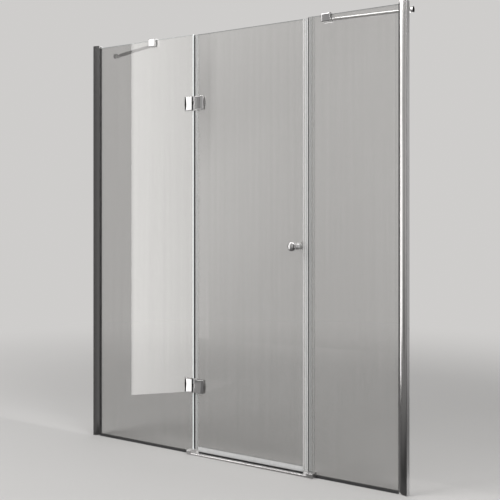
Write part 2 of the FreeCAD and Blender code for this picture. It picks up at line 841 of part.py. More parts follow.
group("hinge_pins", pins)


# Seals: the magnet pair on the closing edges, the bulb on the hinge edge and the sweep under the door

def beaded(legs, direction, side):
    """The three beads on a seal's face as low arcs: from the legs out at y < 0, and back at y > 0."""
    face = seal_half * side
    crest = (seal_half + D["seal_bead_height"]) * side
    half = -D["seal_bead_half"] * direction * side
    first = legs + D["seal_bead_inset"] * direction
    step = D["seal_bead_pitch"] * direction
    middles = [first, first + step, first + step + step]
    points = []
    for middle in middles if side < 0 else reversed(middles):
        points += [(middle - half, face, middle, crest), (middle + half, face)]
    return points


def magnet_seal(name, edge_x, direction, bottom, top):
    """A clip-on strip whose nose holds a magnet bar; direction is where the nose points along x."""
    legs = edge_x - D["magnet_leg"] * direction
    tip = edge_x + D["magnet_nose"] * direction
    body = new_body(f"{name}_magnet_seal", z=bottom)
    section = outline(body, "XY_Plane", [
        (legs, -seal_half),
        *beaded(legs, direction, -1),
        (tip, -seal_half),
        (tip, seal_half),
        *beaded(legs, direction, 1),
        (legs, seal_half),
        (legs, half_glass),
        (edge_x, half_glass),
        (edge_x, -half_glass),
        (legs, -half_glass),
    ])
    pad(body, section, top - bottom)
    bar_end = tip - D["seal_wall"] * direction
    bar_start = bar_end - D["magnet_width"] * direction
    bar_half = D["magnet_depth"] / 2
    low, high = (bar_start, bar_end) if direction > 0 else (bar_end, bar_start)
    room = D["magnet_room"]
    chamber_half = bar_half + room
    chamber = box_outline(body, "XY_Plane", (low - room, -chamber_half), (high + room, chamber_half))
    pocket(body, chamber, through(top), both=True)
    parts[f"{name}_magnet_seal"] = body
    bar = new_body(f"{name}_magnet_bar", z=bottom)
    pad(bar, box_outline(bar, "XY_Plane", (low, -bar_half), (high, bar_half)), top - bottom)
    parts[f"{name}_magnet_bar"] = bar


magnet_seal("door", door_far, 1, door_bottom, door_top)
magnet_seal("panel", panel_near, -1, D["end_piece_height"], glass_top)


def hinge_seal_length(bottom, top):
    """One length of the clip-on bulb seal on the door's hinge edge, with a lip that closes the gap."""
    body = new_body("hinge_seal_length", z=bottom)
    legs = door_edge + D["hinge_seal_leg"]
    base = door_edge - D["seal_wall"]
    clip = outline(body, "XY_Plane", [
        (base, -seal_half),
        (legs, -seal_half),
        (legs, -half_glass),
        (door_edge, -half_glass),
        (door_edge, half_glass),
        (legs, half_glass),
        (legs, seal_half),
        (base, seal_half),
    ])
    pad(body, clip, top - bottom)
    bulb_x = base - D["hinge_seal_bulb_radius"] + D["hinge_seal_bulb_wall"]
    pad(body, circles(body, "XY_Plane", [(bulb_x, 0)], D["hinge_seal_bulb_radius"]), top - bottom)
    lip_half = D["hinge_seal_lip"] / 2
    lip = box_outline(body, "XY_Plane", (fixed_edge + D["hinge_seal_lip_gap"], -lip_half), (bulb_x, lip_half))
    pad(body, lip, top - bottom)
    hollow = D["hinge_seal_bulb_radius"] - D["hinge_seal_bulb_wall"]
    pocket(body, circles(body, "XY_Plane", [(bulb_x, 0)], hollow), through(top), both=True)
    return body


hinge_room = hinge_half + D["hinge_notch_clearance"] + D["seal_end_gap"]
seal_spans = [
    (door_bottom, hinge_levels["lower"] - hinge_room),
    (hinge_levels["lower"] + hinge_room, hinge_levels["upper"] - hinge_room),
    (hinge_levels["upper"] + hinge_room, door_top),
]
group("door_hinge_seal", [hinge_seal_length(*span) for span in seal_spans])

sweep_left = door_edge + D["hinge_seal_leg"] + D["seal_end_gap"]
sweep_right = door_far - D["magnet_leg"] - D["seal_end_gap"]
sweep = new_body("door_bottom_sweep", x=sweep_left)
sweep_under = door_bottom - D["sweep_base"]
sweep_foot = D["threshold_height"] + D["sweep_floor_gap"]
lip_half = D["sweep_lip"] / 2
lip_y = D["sweep_lip_offset"]
sweep_section = outline(sweep, "YZ_Plane", [
    (-seal_half, sweep_under),
    (-lip_y - lip_half, sweep_under),
    (-lip_y - lip_half, sweep_foot),
    (-lip_y + lip_half, sweep_foot),
    (-lip_y + lip_half, sweep_under),
    (lip_y - lip_half, sweep_under),
    (lip_y - lip_half, sweep_foot),
    (lip_y + lip_half, sweep_foot),
    (lip_y + lip_half, sweep_under),
    (seal_half, sweep_under),
    (seal_half, door_bottom + D["sweep_leg"]),
    (half_glass, door_bottom + D["sweep_leg"]),
    (half_glass, door_bottom),
    (-half_glass, door_bottom),
    (-half_glass, door_bottom + D["sweep_leg"]),
    (-seal_half, door_bottom + D["sweep_leg"]),
])
pad(sweep, sweep_section, sweep_right - sweep_left)
parts["door_bottom_sweep"] = sweep


# Knob pair: spool shapes either side of the door on one threaded stud

def knob(label, side):
    """One knob, turned about its own z axis, with its foot at z = 0; its crown runs into its shoulder."""
    crown_start, crown_end = 60, 84
    foot_y = (half_glass + D["knob_washer_thickness"]) * side
    body = new_body(label, x=knob_x, y=foot_y, z=D["knob_height"], turn=-90 * side, axis=(1, 0, 0))
    length = D["knob_length"]
    head = D["knob_head_radius"]
    rim = D["knob_rounding"]
    neck_end = length - D["knob_head_thickness"]
    shoulder = D["knob_shoulder"]
    crown = head * 2 - shoulder
    crown_y = length - around(0, 0, crown, crown_end)[1]
    shoulder_x, shoulder_y = around(0, crown_y, crown - shoulder, crown_start)
    waist = (D["knob_base_thickness"] + neck_end) / 2
    flare = (D["knob_base_radius"] + D["knob_neck_radius"]) / 2
    profile = outline(body, "XZ_Plane", [
        (0, 0),
        (D["knob_base_radius"], 0),
        (D["knob_base_radius"], D["knob_base_thickness"], D["knob_neck_radius"], waist),
        (flare, neck_end),
        (head - rim, neck_end) + around(head - rim, neck_end + rim, rim, -45),
        (head, neck_end + rim),
        (head, shoulder_y) + around(shoulder_x, shoulder_y, shoulder, crown_start / 2),
        around(0, crown_y, crown, crown_start) + around(0, crown_y, crown, (crown_start + crown_end) / 2),
        around(0, crown_y, crown, crown_end),
        (0, length),
    ])
    revolve(body, profile)
    bore = circles(body, "XY_Plane", [(0, 0)], D["knob_stud_radius"])
    pocket(body, bore, D["knob_stud_bite"], back=True)
    parts[label] = body


def knob_washer(side):
    """The soft washer between a knob and the glass."""
    near_y = half_glass * side
    body = new_body("knob_washer", x=knob_x, y=near_y, z=D["knob_height"], turn=-90 * side, axis=(1, 0, 0))
    pad(body, circles(body, "XY_Plane", [(0, 0)], D["knob_base_radius"]), D["knob_washer_thickness"])
    bore = circles(body, "XY_Plane", [(0, 0)], D["knob_stud_radius"])
    pocket(body, bore, through(D["knob_washer_thickness"]), both=True)
    return body


knob("outer_knob", -1)
knob("inner_knob", 1)
group("knob_washers", [knob_washer(-1), knob_washer(1)])
stud = new_body("knob_stud", x=knob_x, z=D["knob_height"], turn=90, axis=(1, 0, 0))
stud_length = (half_glass + D["knob_washer_thickness"] + D["knob_stud_bite"]) * 2
pad(stud, circles(stud, "XY_Plane", [(0, 0)], D["knob_stud_radius"]), stud_length, both=True)
parts["knob_stud"] = stud


# Stabiliser struts: a clamp over the glass edge, a swivelling round bar, a swivelling flange on the wall

def fork(body, start):
    """A rounded lug along +x from start, cut into two cheeks for the bar's eye and bored for its pin."""
    radius = D["strut_lug_radius"]
    pivot = start + D["strut_pivot_out"]
    cheek = outline(body, "XY_Plane", [
        (start, -radius),
        (pivot, -radius, pivot + radius, 0),
        (pivot, radius),
        (start, radius),
    ])
    pad(body, cheek, D["strut_lug_height"], both=True)
    pivot_bore(body, pivot)
    clear = radius + D["cut_overshoot"]
    gap = box_outline(body, "XY_Plane", (start, -clear), (pivot + clear, clear))
    pocket(body, gap, D["strut_eye_height"] + D["strut_eye_clearance"] * 2, both=True)


def pivot_bore(body, x):
    """The upright bore for a pivot pin."""
    bore = circles(body, "XY_Plane", [(x, 0)], D["strut_pin_radius"] + D["strut_pin_clearance"])
    pocket(body, bore, through(D["strut_lug_height"]), both=True)


def strut_clamp(label, x):
    """The block over the pane's top edge; its lug points into the shower."""
    body = new_body(label, x=x, y=0, z=strut_z, turn=90)
    half = D["clamp_width"] / 2
    low = glass_top - D["clamp_below"] - strut_z
    high = glass_top + D["clamp_above"] - strut_z
    face = box_outline(body, "YZ_Plane", (-half, low), (half, high), level=-D["clamp_front"])
    pad(body, face, D["clamp_front"] + D["clamp_back"])
    front = -D["clamp_front"]
    ease("Fillet", body, D["clamp_rounding"],
         lambda e: near(e.BoundBox.XMin, front) and near(e.BoundBox.XMax, front))
    mouth = half_glass + D["clamp_pad"]
    slot_top = glass_top + D["clamp_pad"] - strut_z
    slot = box_outline(body, "XZ_Plane", (-mouth, low - D["cut_overshoot"]), (mouth, slot_top))
    pocket(body, slot, through(D["clamp_width"]), both=True)
    fork(body, D["clamp_back"])
    bore = circles(body, "YZ_Plane", [(0, low + D["clamp_screw_rise"])], D["clamp_screw_radius"])
    pocket(body, bore, D["clamp_back"] + D["cut_overshoot"], back=True)
    parts[label] = body


def clamp_pad(x):
    """The soft U between a clamp and the glass."""
    body = new_body("clamp_pad", x=x)
    mouth = half_glass + D["clamp_pad"]
    low = glass_top - D["clamp_below"]
    section = outline(body, "YZ_Plane", [
        (-mouth, low),
        (-half_glass, low),
        (-half_glass, glass_top),
        (half_glass, glass_top),
        (half_glass, low),
        (mouth, low),
        (mouth, glass_top + D["clamp_pad"]),
        (-mouth, glass_top + D["clamp_pad"]),
    ])
    pad(body, section, D["clamp_width"], both=True)
    return body


def clamp_screw(x):
    """The set screw that presses the clamp's pad on the glass from the shower side."""
    start = half_glass + D["clamp_pad"]
    level = glass_top - D["clamp_below"] + D["clamp_screw_rise"]
    body = new_body("clamp_screw", x=x, y=start, z=level, turn=-90, axis=(1, 0, 0))
    pad(body, circles(body, "XY_Plane", [(0, 0)], D["clamp_screw_radius"]), D["clamp_back"] - start)
    return body


def bar_end(where):
    """An eye, a slim neck and a collar with a spigot, along +x from the pivot at the body's origin."""
    body = new_body("bar_end", **where)
    pad(body, circles(body, "XY_Plane", [(0, 0)], D["strut_lug_radius"]), D["strut_eye_height"], both=True)
    collar_end = collar_start + D["strut_neck"]
    tube_bore = D["strut_radius"] - D["strut_wall"]
    profile = outline(body, "XZ_Plane", [
        (D["strut_lug_radius"] / 2, 0),
        (collar_end + D["strut_spigot"], 0),
        (collar_end + D["strut_spigot"], tube_bore),
        (collar_end, tube_bore),
        (collar_end, D["strut_radius"]),
        (collar_start, D["strut_radius"]),
        (collar_start, D["strut_neck_radius"]),
        (D["strut_lug_radius"] / 2, D["strut_neck_radius"]),
    ])
    revolve(body, profile, axis="H_Axis")
    pivot_bore(body, 0)
    return body


def strut_bar(label, x, y, turn, length):
    """The round tube between the two bar ends."""
    body = new_body(label, x=x, y=y, z=strut_z, turn=turn)
    start = collar_start + D["strut_neck"]
    ring = circles(body, "YZ_Plane", [(0, 0)], D["strut_radius"], level=start)
    pad(body, ring, length - start * 2)
    bore = circles(body, "YZ_Plane", [(0, 0)], D["strut_radius"] - D["strut_wall"])
    pocket(body, bore, through(length), both=True)
    parts[label] = body


def strut_flange(label, x, y, turn):
    """The wall disc with its blind bolt hole and the fork for the bar's end, along +x from the wall."""
    body = new_body(label, x=x, y=y, z=strut_z, turn=turn)
    pad(body, circles(body, "YZ_Plane", [(0, 0)], D["flange_radius"]), D["flange_thickness"])
    ease("Fillet", body, D["flange_rounding"], lambda e: near(e.BoundBox.XMin, D["flange_thickness"]))
    fork(body, D["flange_thickness"])
    bore = circles(body, "YZ_Plane", [(0, 0)], D["flange_hole_radius"])
    pocket(body, bore, D["flange_hole_depth"], back=True)
    parts[label] = body


def pivot_pin(x, y):
    """The upright pin of one swivel."""
    body = new_body("pivot_pin", x=x, y=y, z=strut_z)
    pad(body, circles(body, "XY_Plane", [(0, 0)], D["strut_pin_radius"]), D["strut_lug_height"], both=True)
    return body


collar_start = D["strut_lug_radius"] + D["strut_neck"]
pivot_y = D["clamp_back"] + D["strut_pivot_out"]
pivot_out = D["flange_thickness"] + D["strut_pivot_out"]
pivot_pins = []
for side, toward, clamp_x in (("left", -1, left_clamp_x), ("right", 1, right_clamp_x)):
    slant = D[f"{side}_strut_angle"]
    wall_x = half_width * toward
    wall_pivot_x = wall_x - pivot_out * toward
    run = (wall_pivot_x - clamp_x) * toward
    wall_y = pivot_y + run * tangent(slant)
    length = run / cosine(slant)
    outward = slant if toward > 0 else 180 - slant
    strut_clamp(f"{side}_strut_clamp", clamp_x)
    strut_bar(f"{side}_strut_bar", clamp_x, pivot_y, outward, length)
    ends = [
        bar_end(dict(x=clamp_x, y=pivot_y, z=strut_z, turn=outward)),
        bar_end(dict(x=wall_pivot_x, y=wall_y, z=strut_z, turn=outward + 180)),
    ]
    group(f"{side}_strut_ends", ends)
    strut_flange(f"{side}_strut_flange", wall_x, wall_y, 0 if toward < 0 else 180)
    pivot_pins += [pivot_pin(clamp_x, pivot_y), pivot_pin(wall_pivot_x, wall_y)]
group("strut_pivot_pins", pivot_pins)
group("strut_clamp_pads", [clamp_pad(x) for x in (left_clamp_x, right_clamp_x)])
group("strut_clamp_screws", [clamp_screw(x) for x in (left_clamp_x, right_clamp_x)])


# Check every object, then write one file for each piece

doc.recompute()
for item in doc.Objects:
    faults = [state for state in item.State if state in ("Invalid", "Error")]
    if faults:
        raise RuntimeError(f"{item.Label}: {faults}")
os.makedirs("parts", exist_ok=True)
for label, item in parts.items():
    shape = item.Shape
    if shape.isNull() or not shape.isValid() or not shape.Solids:
        raise RuntimeError(f"{label}: no valid solid")
    shape.exportStep(f"parts/{label}.step")
    print(label, len(shape.Solids), "solids", round(shape.Volume / 1000, 2), "cm3")
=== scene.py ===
# %% [markdown]
# A glass shower door, dressed step by step.
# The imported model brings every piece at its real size: panes, hinges, seals, struts and screws.
# This lesson gives each piece its finish, adds the small details that show from close by, and then
# sets up a plain studio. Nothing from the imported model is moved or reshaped.

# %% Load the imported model
import json
import math

import bmesh
import bpy
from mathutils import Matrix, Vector


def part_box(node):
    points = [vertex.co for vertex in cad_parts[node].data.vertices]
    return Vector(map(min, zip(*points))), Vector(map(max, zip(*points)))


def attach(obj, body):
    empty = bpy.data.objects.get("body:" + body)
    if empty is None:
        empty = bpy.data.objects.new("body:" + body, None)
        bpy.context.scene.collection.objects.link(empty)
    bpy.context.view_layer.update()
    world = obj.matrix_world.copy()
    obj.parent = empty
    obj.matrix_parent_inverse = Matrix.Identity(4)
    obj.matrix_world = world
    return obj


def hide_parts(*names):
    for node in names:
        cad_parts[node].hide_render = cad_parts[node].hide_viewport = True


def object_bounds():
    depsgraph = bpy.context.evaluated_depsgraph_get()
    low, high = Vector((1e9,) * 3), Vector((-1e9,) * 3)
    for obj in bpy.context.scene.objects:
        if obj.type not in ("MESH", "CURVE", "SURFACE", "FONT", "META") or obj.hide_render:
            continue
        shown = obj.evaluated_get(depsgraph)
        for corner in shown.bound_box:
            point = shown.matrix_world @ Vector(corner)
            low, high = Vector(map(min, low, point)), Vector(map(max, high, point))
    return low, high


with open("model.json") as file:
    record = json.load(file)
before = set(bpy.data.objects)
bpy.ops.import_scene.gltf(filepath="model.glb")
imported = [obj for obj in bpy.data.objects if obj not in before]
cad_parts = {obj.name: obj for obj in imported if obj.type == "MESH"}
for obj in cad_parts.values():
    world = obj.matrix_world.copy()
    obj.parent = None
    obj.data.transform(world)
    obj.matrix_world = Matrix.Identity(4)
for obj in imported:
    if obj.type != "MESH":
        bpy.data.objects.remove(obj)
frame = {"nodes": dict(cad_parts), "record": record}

nodes = frame["nodes"]
slot_of = {row["node"]: row["material_slot"] for row in frame["record"]["subparts"]}
body_of = {}
for body, members in frame["record"]["behaviour"]["bodies"].items():
    body_of.update(dict.fromkeys(members, body))
cad_low, cad_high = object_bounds()
print(len(nodes), "nodes, box", [round(b - a, 3) for a, b in zip(cad_low, cad_high)])

# %% [markdown]
# Shader maths could be wired by hand, one Math node at a time, but it reads best as plain sums. A Wire
# stands for one output socket: adding or multiplying wires adds Math nodes behind the scenes. A Bench
# holds one node tree, and its add method makes any other node: settings first, then a value or a wire
# for each socket.

# %% Wires and benches
class Wire:
    """One output socket; sums, products and powers of wires add Math nodes to their tree."""

    def __init__(self, bench, socket):
        self.bench = bench
        self.socket = socket

    def combine(self, operation, first, second):
        """A Math node on two wires or numbers."""
        return self.bench.add("ShaderNodeMath", {"operation": operation}, {0: first, 1: second})

    def __add__(self, other):
        return self.combine("ADD", self, other)

    def __sub__(self, other):
        return self.combine("SUBTRACT", self, other)

    def __rsub__(self, other):
        return self.combine("SUBTRACT", other, self)

    def __mul__(self, other):
        return self.combine("MULTIPLY", self, other)

    def __truediv__(self, other):
        return self.combine("DIVIDE", self, other)

    def __pow__(self, power):
        return self.combine("POWER", self, power)

    def __lt__(self, other):
        return self.combine("LESS_THAN", self, other)

    def __abs__(self):
        return self.combine("ABSOLUTE", self, 0.0)

    __radd__ = __add__
    __rmul__ = __mul__


class Bench:
    """A node tree to build on, whether it shades a surface or grows a mesh."""

    def __init__(self, tree):
        self.tree = tree
        tree.nodes.clear()

    def add(self, kind, settings=None, sockets=None, out=0):
        """Adds a node and gives back one of its outputs as a wire."""
        node = self.tree.nodes.new(kind)
        for name, value in (settings or {}).items():
            setattr(node, name, value)
        for name, value in (sockets or {}).items():
            for item in value if isinstance(value, list) else [value]:
                if isinstance(item, Wire):
                    self.tree.links.new(item.socket, node.inputs[name])
                else:
                    node.inputs[name].default_value = item
        return Wire(self, node.outputs[out]) if node.outputs else None


print("a bench adds any node; wires understand + - * / ** < and abs")

# %% [markdown]
# Every finish starts the same way: an empty material, Object coordinates for its patterns, and an
# output at the end. Object coordinates are in metres here, so a noise of scale 900 has grains of
# about a millimetre. Stretching the coordinates along one axis turns grains into streaks. Pictures
# could give the same patterns, but noise has no seams and needs no unwrapping.

# %% What every finish shares
def new_finish(name):
    """An empty material and the bench for its nodes."""
    material = bpy.data.materials.new(name)
    material.use_nodes = True
    return material, Bench(material.node_tree)


def noise(bench, scale, stretch=(1, 1, 1), detail=2.0):
    """A noise pattern fixed to the object; a small number in stretch draws it out along that axis."""
    place = bench.add("ShaderNodeTexCoord", out="Object")
    drawn = bench.add("ShaderNodeMapping", {}, {"Vector": place, "Scale": stretch})
    return bench.add("ShaderNodeTexNoise", {}, {"Vector": drawn, "Scale": scale, "Detail": detail})


def facing_axis(bench, axis):
    """How squarely the surface faces along one axis of the object, from 0 to 1."""
    normal = bench.add("ShaderNodeTexCoord", out="Normal")
    return abs(bench.add("ShaderNodeSeparateXYZ", {}, {"Vector": normal}, out=axis))


def along(bench, axis):
    """Where a point of the surface lies along one axis of the object, in metres."""
    place = bench.add("ShaderNodeTexCoord", out="Object")
    return bench.add("ShaderNodeSeparateXYZ", {}, {"Vector": place}, out=axis)


def colours(bench, factor, first, second):
    """A colour between two, by a factor that changes over the surface."""
    ends = [value if isinstance(value, Wire) else (*value, 1.0) for value in (first, second)]
    return bench.add("ShaderNodeMix", {"data_type": "RGBA"}, {0: factor, 6: ends[0], 7: ends[1]}, out=2)


def relief(bench, height, depth, strength):
    """Turns a height pattern into a bumped normal; depth is in metres."""
    sockets = {"Height": height, "Distance": depth, "Strength": strength}
    return bench.add("ShaderNodeBump", {}, sockets)


def mixed(bench, factor, first, second):
    """Two shaders mixed by a factor."""
    return bench.add("ShaderNodeMixShader", {}, {0: factor, 1: first, 2: second})


def show(bench, shader):
    """Ends a material with this shader."""
    bench.add("ShaderNodeOutputMaterial", {}, {"Surface": shader})


print("finish helpers ready")

# %% [markdown]
# The metal is polished chrome plate. It is nearly a mirror, so its looks come from what stands around
# it. A reflection could be painted on, but it would be wrong from every other side. What keeps a plain
# mirror from looking computed is small: faint wiping smears that blur some reflections, and a very
# slight unevenness under the plating. The knobs are touched every day, so their plate is less sharp.

# %% Polished chrome
SMEAR_BLUR = 0.16


def chrome_plate(name, blur):
    """Chrome plate; blur is its roughness where no smear lies."""
    material, bench = new_finish(name)
    smears = noise(bench, scale=14, stretch=(1, 1, 0.4), detail=4.0)
    plating = noise(bench, scale=160, detail=1.0)
    metal = bench.add("ShaderNodeBsdfPrincipled", {}, {
        "Base Color": colours(bench, smears, (0.80, 0.79, 0.79), (0.86, 0.86, 0.87)),
        "Metallic": 1.0,
        "Roughness": blur + SMEAR_BLUR * smears ** 3,
        "Normal": relief(bench, plating, depth=0.0002, strength=0.06),
    })
    show(bench, metal)
    return material


chrome = chrome_plate("polished_chrome", blur=0.03)
knob_chrome = chrome_plate("buffed_chrome", blur=0.14)
print("made", chrome.name, "and", knob_chrome.name)

# %% [markdown]
# The panes have ground edges. Light that travels inside a pane comes out at its upright edges, so these are
# painted milky white with a painted glow, while an edge that faces up or down looks into the depth of the
# pane and is painted dark green. Inside the hinges' cut-outs the edge is hidden from the light, and painted
# shade makes it nearly black. The edges could be split off as pieces of their own, but one shader that asks
# where it is leaves the panes whole.

# %% Edges of the panes
CUT_OUT_HALF = 0.032


def middle_height(name):
    """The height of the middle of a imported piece."""
    low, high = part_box(name)
    return (low.z + high.z) / 2


lower_hinge = middle_height("lower_hinge_fixed_leaf")
upper_hinge = middle_height("upper_hinge_fixed_leaf")


def in_cut_out(bench):
    """1 in the hinges' cut-outs, where the edges get painted shade; they lie at two levels on the left half
    of the part.
    """
    middle = (lower_hinge + upper_hinge) / 2
    from_hinge = abs(abs(along(bench, "Z") - middle) - (upper_hinge - middle))
    return (from_hinge < CUT_OUT_HALF) * (along(bench, "X") < 0)


def pane_edge(bench, glow):
    """The shader of a ground edge; glow is the strength of the light that comes out of it."""
    ground = noise(bench, scale=700, detail=2.0)
    # Painted light: upright edges are milky and glow, faces up or down are dark green, cut-outs hold painted
    # shade.
    bright = colours(bench, ground, (0.84, 0.88, 0.87), (0.92, 0.95, 0.94))
    dark = colours(bench, ground, (0.10, 0.12, 0.115), (0.17, 0.19, 0.185))
    shaded = colours(bench, ground, (0.012, 0.012, 0.012), (0.03, 0.03, 0.03))
    tone = colours(bench, facing_axis(bench, "Z"), bright, dark)
    tone = colours(bench, in_cut_out(bench), tone, shaded)
    return bench.add("ShaderNodeBsdfPrincipled", {}, {
        "Base Color": tone,
        "Roughness": 0.22,
        "Emission Color": tone,
        "Emission Strength": glow,
    })


print("hinges at", round(lower_hinge, 3), "and", round(upper_hinge, 3), "m")

# %% [markdown]
# The panes are clear toughened glass with a faint grey cast. Real refraction would be slow and would
# darken everything behind two faces, and a flat pane hardly bends what is seen through it. So each face
# lets most light straight through, holds back a little as a pale veil with very faint upright streaks
# from wiping, and mirrors more at a flat angle. A face that doesn't look along Y is an edge. The left
# pane has a free edge beside the door; the edges of the other panes sit in seals, which dim them.

# %% Toughened glass
EDGE_LIMIT = 0.9
VEIL = 0.17
STREAK_VEIL = 0.08
HEAD_ON_MIRROR = 0.14


def mirror_share(bench, head_on):
    """How much a smooth face mirrors: its share head on, rising to all of it at a grazing look."""
    facing = bench.add("ShaderNodeLayerWeight", {}, {"Blend": 0.5}, out="Facing")
    return head_on + (1 - head_on) * facing ** 5


def toughened_glass(name, edge_glow):
    """Glass whose faces are clear and whose edges glow."""
    material, bench = new_finish(name)
    streaks = noise(bench, scale=60, stretch=(1, 1, 0.012), detail=3.0)
    film = noise(bench, scale=2.2, detail=2.0)
    see_through = bench.add("ShaderNodeBsdfTransparent", {}, {"Color": (0.965, 0.965, 0.96, 1.0)})
    veil = bench.add("ShaderNodeBsdfPrincipled", {}, {
        "Base Color": colours(bench, film, (0.33, 0.32, 0.31), (0.39, 0.38, 0.37)),
        "Roughness": 0.7,
        "Specular IOR Level": 0.0,
    })
    body = mixed(bench, VEIL + STREAK_VEIL * streaks, see_through, veil)
    gloss = bench.add("ShaderNodeBsdfGlossy", {}, {"Roughness": 0.0})
    face = mixed(bench, mirror_share(bench, HEAD_ON_MIRROR), body, gloss)
    is_edge = facing_axis(bench, "Y") < EDGE_LIMIT
    show(bench, mixed(bench, is_edge, face, pane_edge(bench, edge_glow)))
    return material


free_edged_glass = toughened_glass("free_edged_glass", edge_glow=0.75)
clipped_glass = toughened_glass("clipped_glass", edge_glow=0.12)
print("made", free_edged_glass.name, "and", clipped_glass.name)

# %% [markdown]
# The seals are extruded soft vinyl. It is see-through but cloudy, with fine die lines along the strip
# and a soft shine. A plain clear shader would hide its beads. Here the strip grows whiter where it curves
# away and the eye looks through more of it, and a painted glow on the same curves stands in for the
# highlights on its beads. Each strip is also painted dark at its lip, as painted shade for the narrow gap
# there.

# %% Seal vinyl
PALE_LINE = 0.78
GAP_SHADE_SPREAD = 1.7
LINE_CLOUD = 0.12
CURVE_CLOUD = 1.3


def seal_vinyl(name, cloud, shade, glow, gap_shade_tone, in_gap_shade):
    """Cloudy vinyl with painted shade at its lip; in_gap_shade is given the bench and tells the lip from the
    rest.

    cloud is how much a flat stretch holds back, shade is the vinyl's palest grey, glow is the strength
    of the painted highlight at its curves, and gap_shade_tone is the darkest grey of the painted shade on the
    lip.
    """
    material, bench = new_finish(name)
    die_lines = noise(bench, scale=520, stretch=(1, 1, 0.004), detail=2.0)
    slope = 1 - facing_axis(bench, "Y")
    see_through = bench.add("ShaderNodeBsdfTransparent", {}, {"Color": (0.95, 0.95, 0.945, 1.0)})
    vinyl = bench.add("ShaderNodeBsdfPrincipled", {}, {
        "Base Color": colours(bench, die_lines, (PALE_LINE * shade,) * 3, (shade,) * 3),
        "Roughness": 0.24 + 0.2 * die_lines,
        # Painted highlight: the vinyl glows on its curves, most where the slope is half way.
        "Emission Color": colours(bench, 4 * slope * (1 - slope), (0.0, 0.0, 0.0), (1.0, 0.98, 0.97)),
        "Emission Strength": glow,
        "Normal": relief(bench, die_lines, depth=0.0003, strength=0.3),
    })
    haze = cloud - LINE_CLOUD / 2 + LINE_CLOUD * die_lines + CURVE_CLOUD * slope
    strip = mixed(bench, haze, see_through, vinyl)
    # Painted shade: the lip is dark for the narrow gap beside it.
    lip = bench.add("ShaderNodeBsdfPrincipled", {}, {
        "Base Color": colours(bench, die_lines, (gap_shade_tone,) * 3, (GAP_SHADE_SPREAD * gap_shade_tone,) * 3),
        "Roughness": 0.5 + 0.2 * die_lines,
    })
    show(bench, mixed(bench, in_gap_shade(bench), strip, lip))
    return material


print("seal recipe ready")

# %% [markdown]
# There are four strips. Two meet at the closing line: the door's own is pale, and the one on the fixed
# pane is the same vinyl painted greyer and with less glow, as painted shade. The third fills the gap beside
# the hinges, and the fourth is the sweep under the door, which is the cloudiest. The painted shade on the
# lips could be separate dark meshes, but the lips are the ends of the strips, so it is enough to say where a
# strip
# ends: within a millimetre or so of the closing line, in the gap beside the hinges, and at the foot of the
# sweep.

# %% Four seals
# Where the lips end, which sets the reach of their painted shade.
CLOSING_LIP = 0.0012
HINGE_LIP = 0.0124
SWEEP_LIP = 0.0035

door_seal_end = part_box("door_magnet_seal")[1].x
panel_seal_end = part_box("panel_magnet_seal")[0].x
closing_line = (door_seal_end + panel_seal_end) / 2
hinge_lip_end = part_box("door_hinge_seal")[0].x + HINGE_LIP
sweep_lip_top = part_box("door_bottom_sweep")[0].z + SWEEP_LIP


def at_closing_line(bench):
    """1 on the lips that meet at the closing line, which get painted shade."""
    return abs(along(bench, "X") - closing_line) < CLOSING_LIP


def at_hinge_gap(bench):
    """1 on the lip that reaches into the gap beside the hinges, which gets painted shade."""
    return along(bench, "X") < hinge_lip_end


def under_door(bench):
    """1 on the foot of the sweep, which gets painted shade."""
    return along(bench, "Z") < sweep_lip_top


closing_vinyl = seal_vinyl("closing_seal_vinyl", cloud=0.22, shade=0.94, glow=0.45, gap_shade_tone=0.03,
                           in_gap_shade=at_closing_line)
# The fixed pane's strip is the same vinyl with painted shade: greyer, and with a weaker painted glow.
shaded_panel_vinyl = seal_vinyl("shaded_panel_seal_vinyl", cloud=0.14, shade=0.56, glow=0.13, gap_shade_tone=0.03,
                         in_gap_shade=at_closing_line)
hinge_vinyl = seal_vinyl("hinge_seal_vinyl", cloud=0.18, shade=0.90, glow=0.30, gap_shade_tone=0.04,
                         in_gap_shade=at_hinge_gap)
sweep_vinyl = seal_vinyl("sweep_vinyl", cloud=0.72, shade=0.90, glow=0.30, gap_shade_tone=0.02,
                         in_gap_shade=under_door)
print("made", [m.name for m in (closing_vinyl, shaded_panel_vinyl, hinge_vinyl, sweep_vinyl)])

# %% [markdown]
# The gaskets and the floor seals are black rubber: dull, slightly grainy, with a grey bloom. Pads, bushes
# and magnet strips are plain moulded plastics that show only at their edges, each with its own grain. All
# of them differ only in colour, roughness and grain, so one function makes them.

# %% Rubber and moulded plastics
BLOOM_SPREAD = 0.16


def moulded(name, dark, pale, roughness, grain_scale, grain_depth):
    """A dull moulded skin with a cloudy bloom and a fine grain; grain_depth is in metres."""
    material, bench = new_finish(name)
    bloom = noise(bench, scale=30, detail=4.0)
    grain = noise(bench, scale=grain_scale, detail=2.0)
    skin = bench.add("ShaderNodeBsdfPrincipled", {}, {
        "Base Color": colours(bench, bloom, dark, pale),
        "Roughness": roughness - BLOOM_SPREAD / 2 + BLOOM_SPREAD * bloom,
        "Normal": relief(bench, grain, depth=grain_depth, strength=0.5),
    })
    show(bench, skin)
    return material


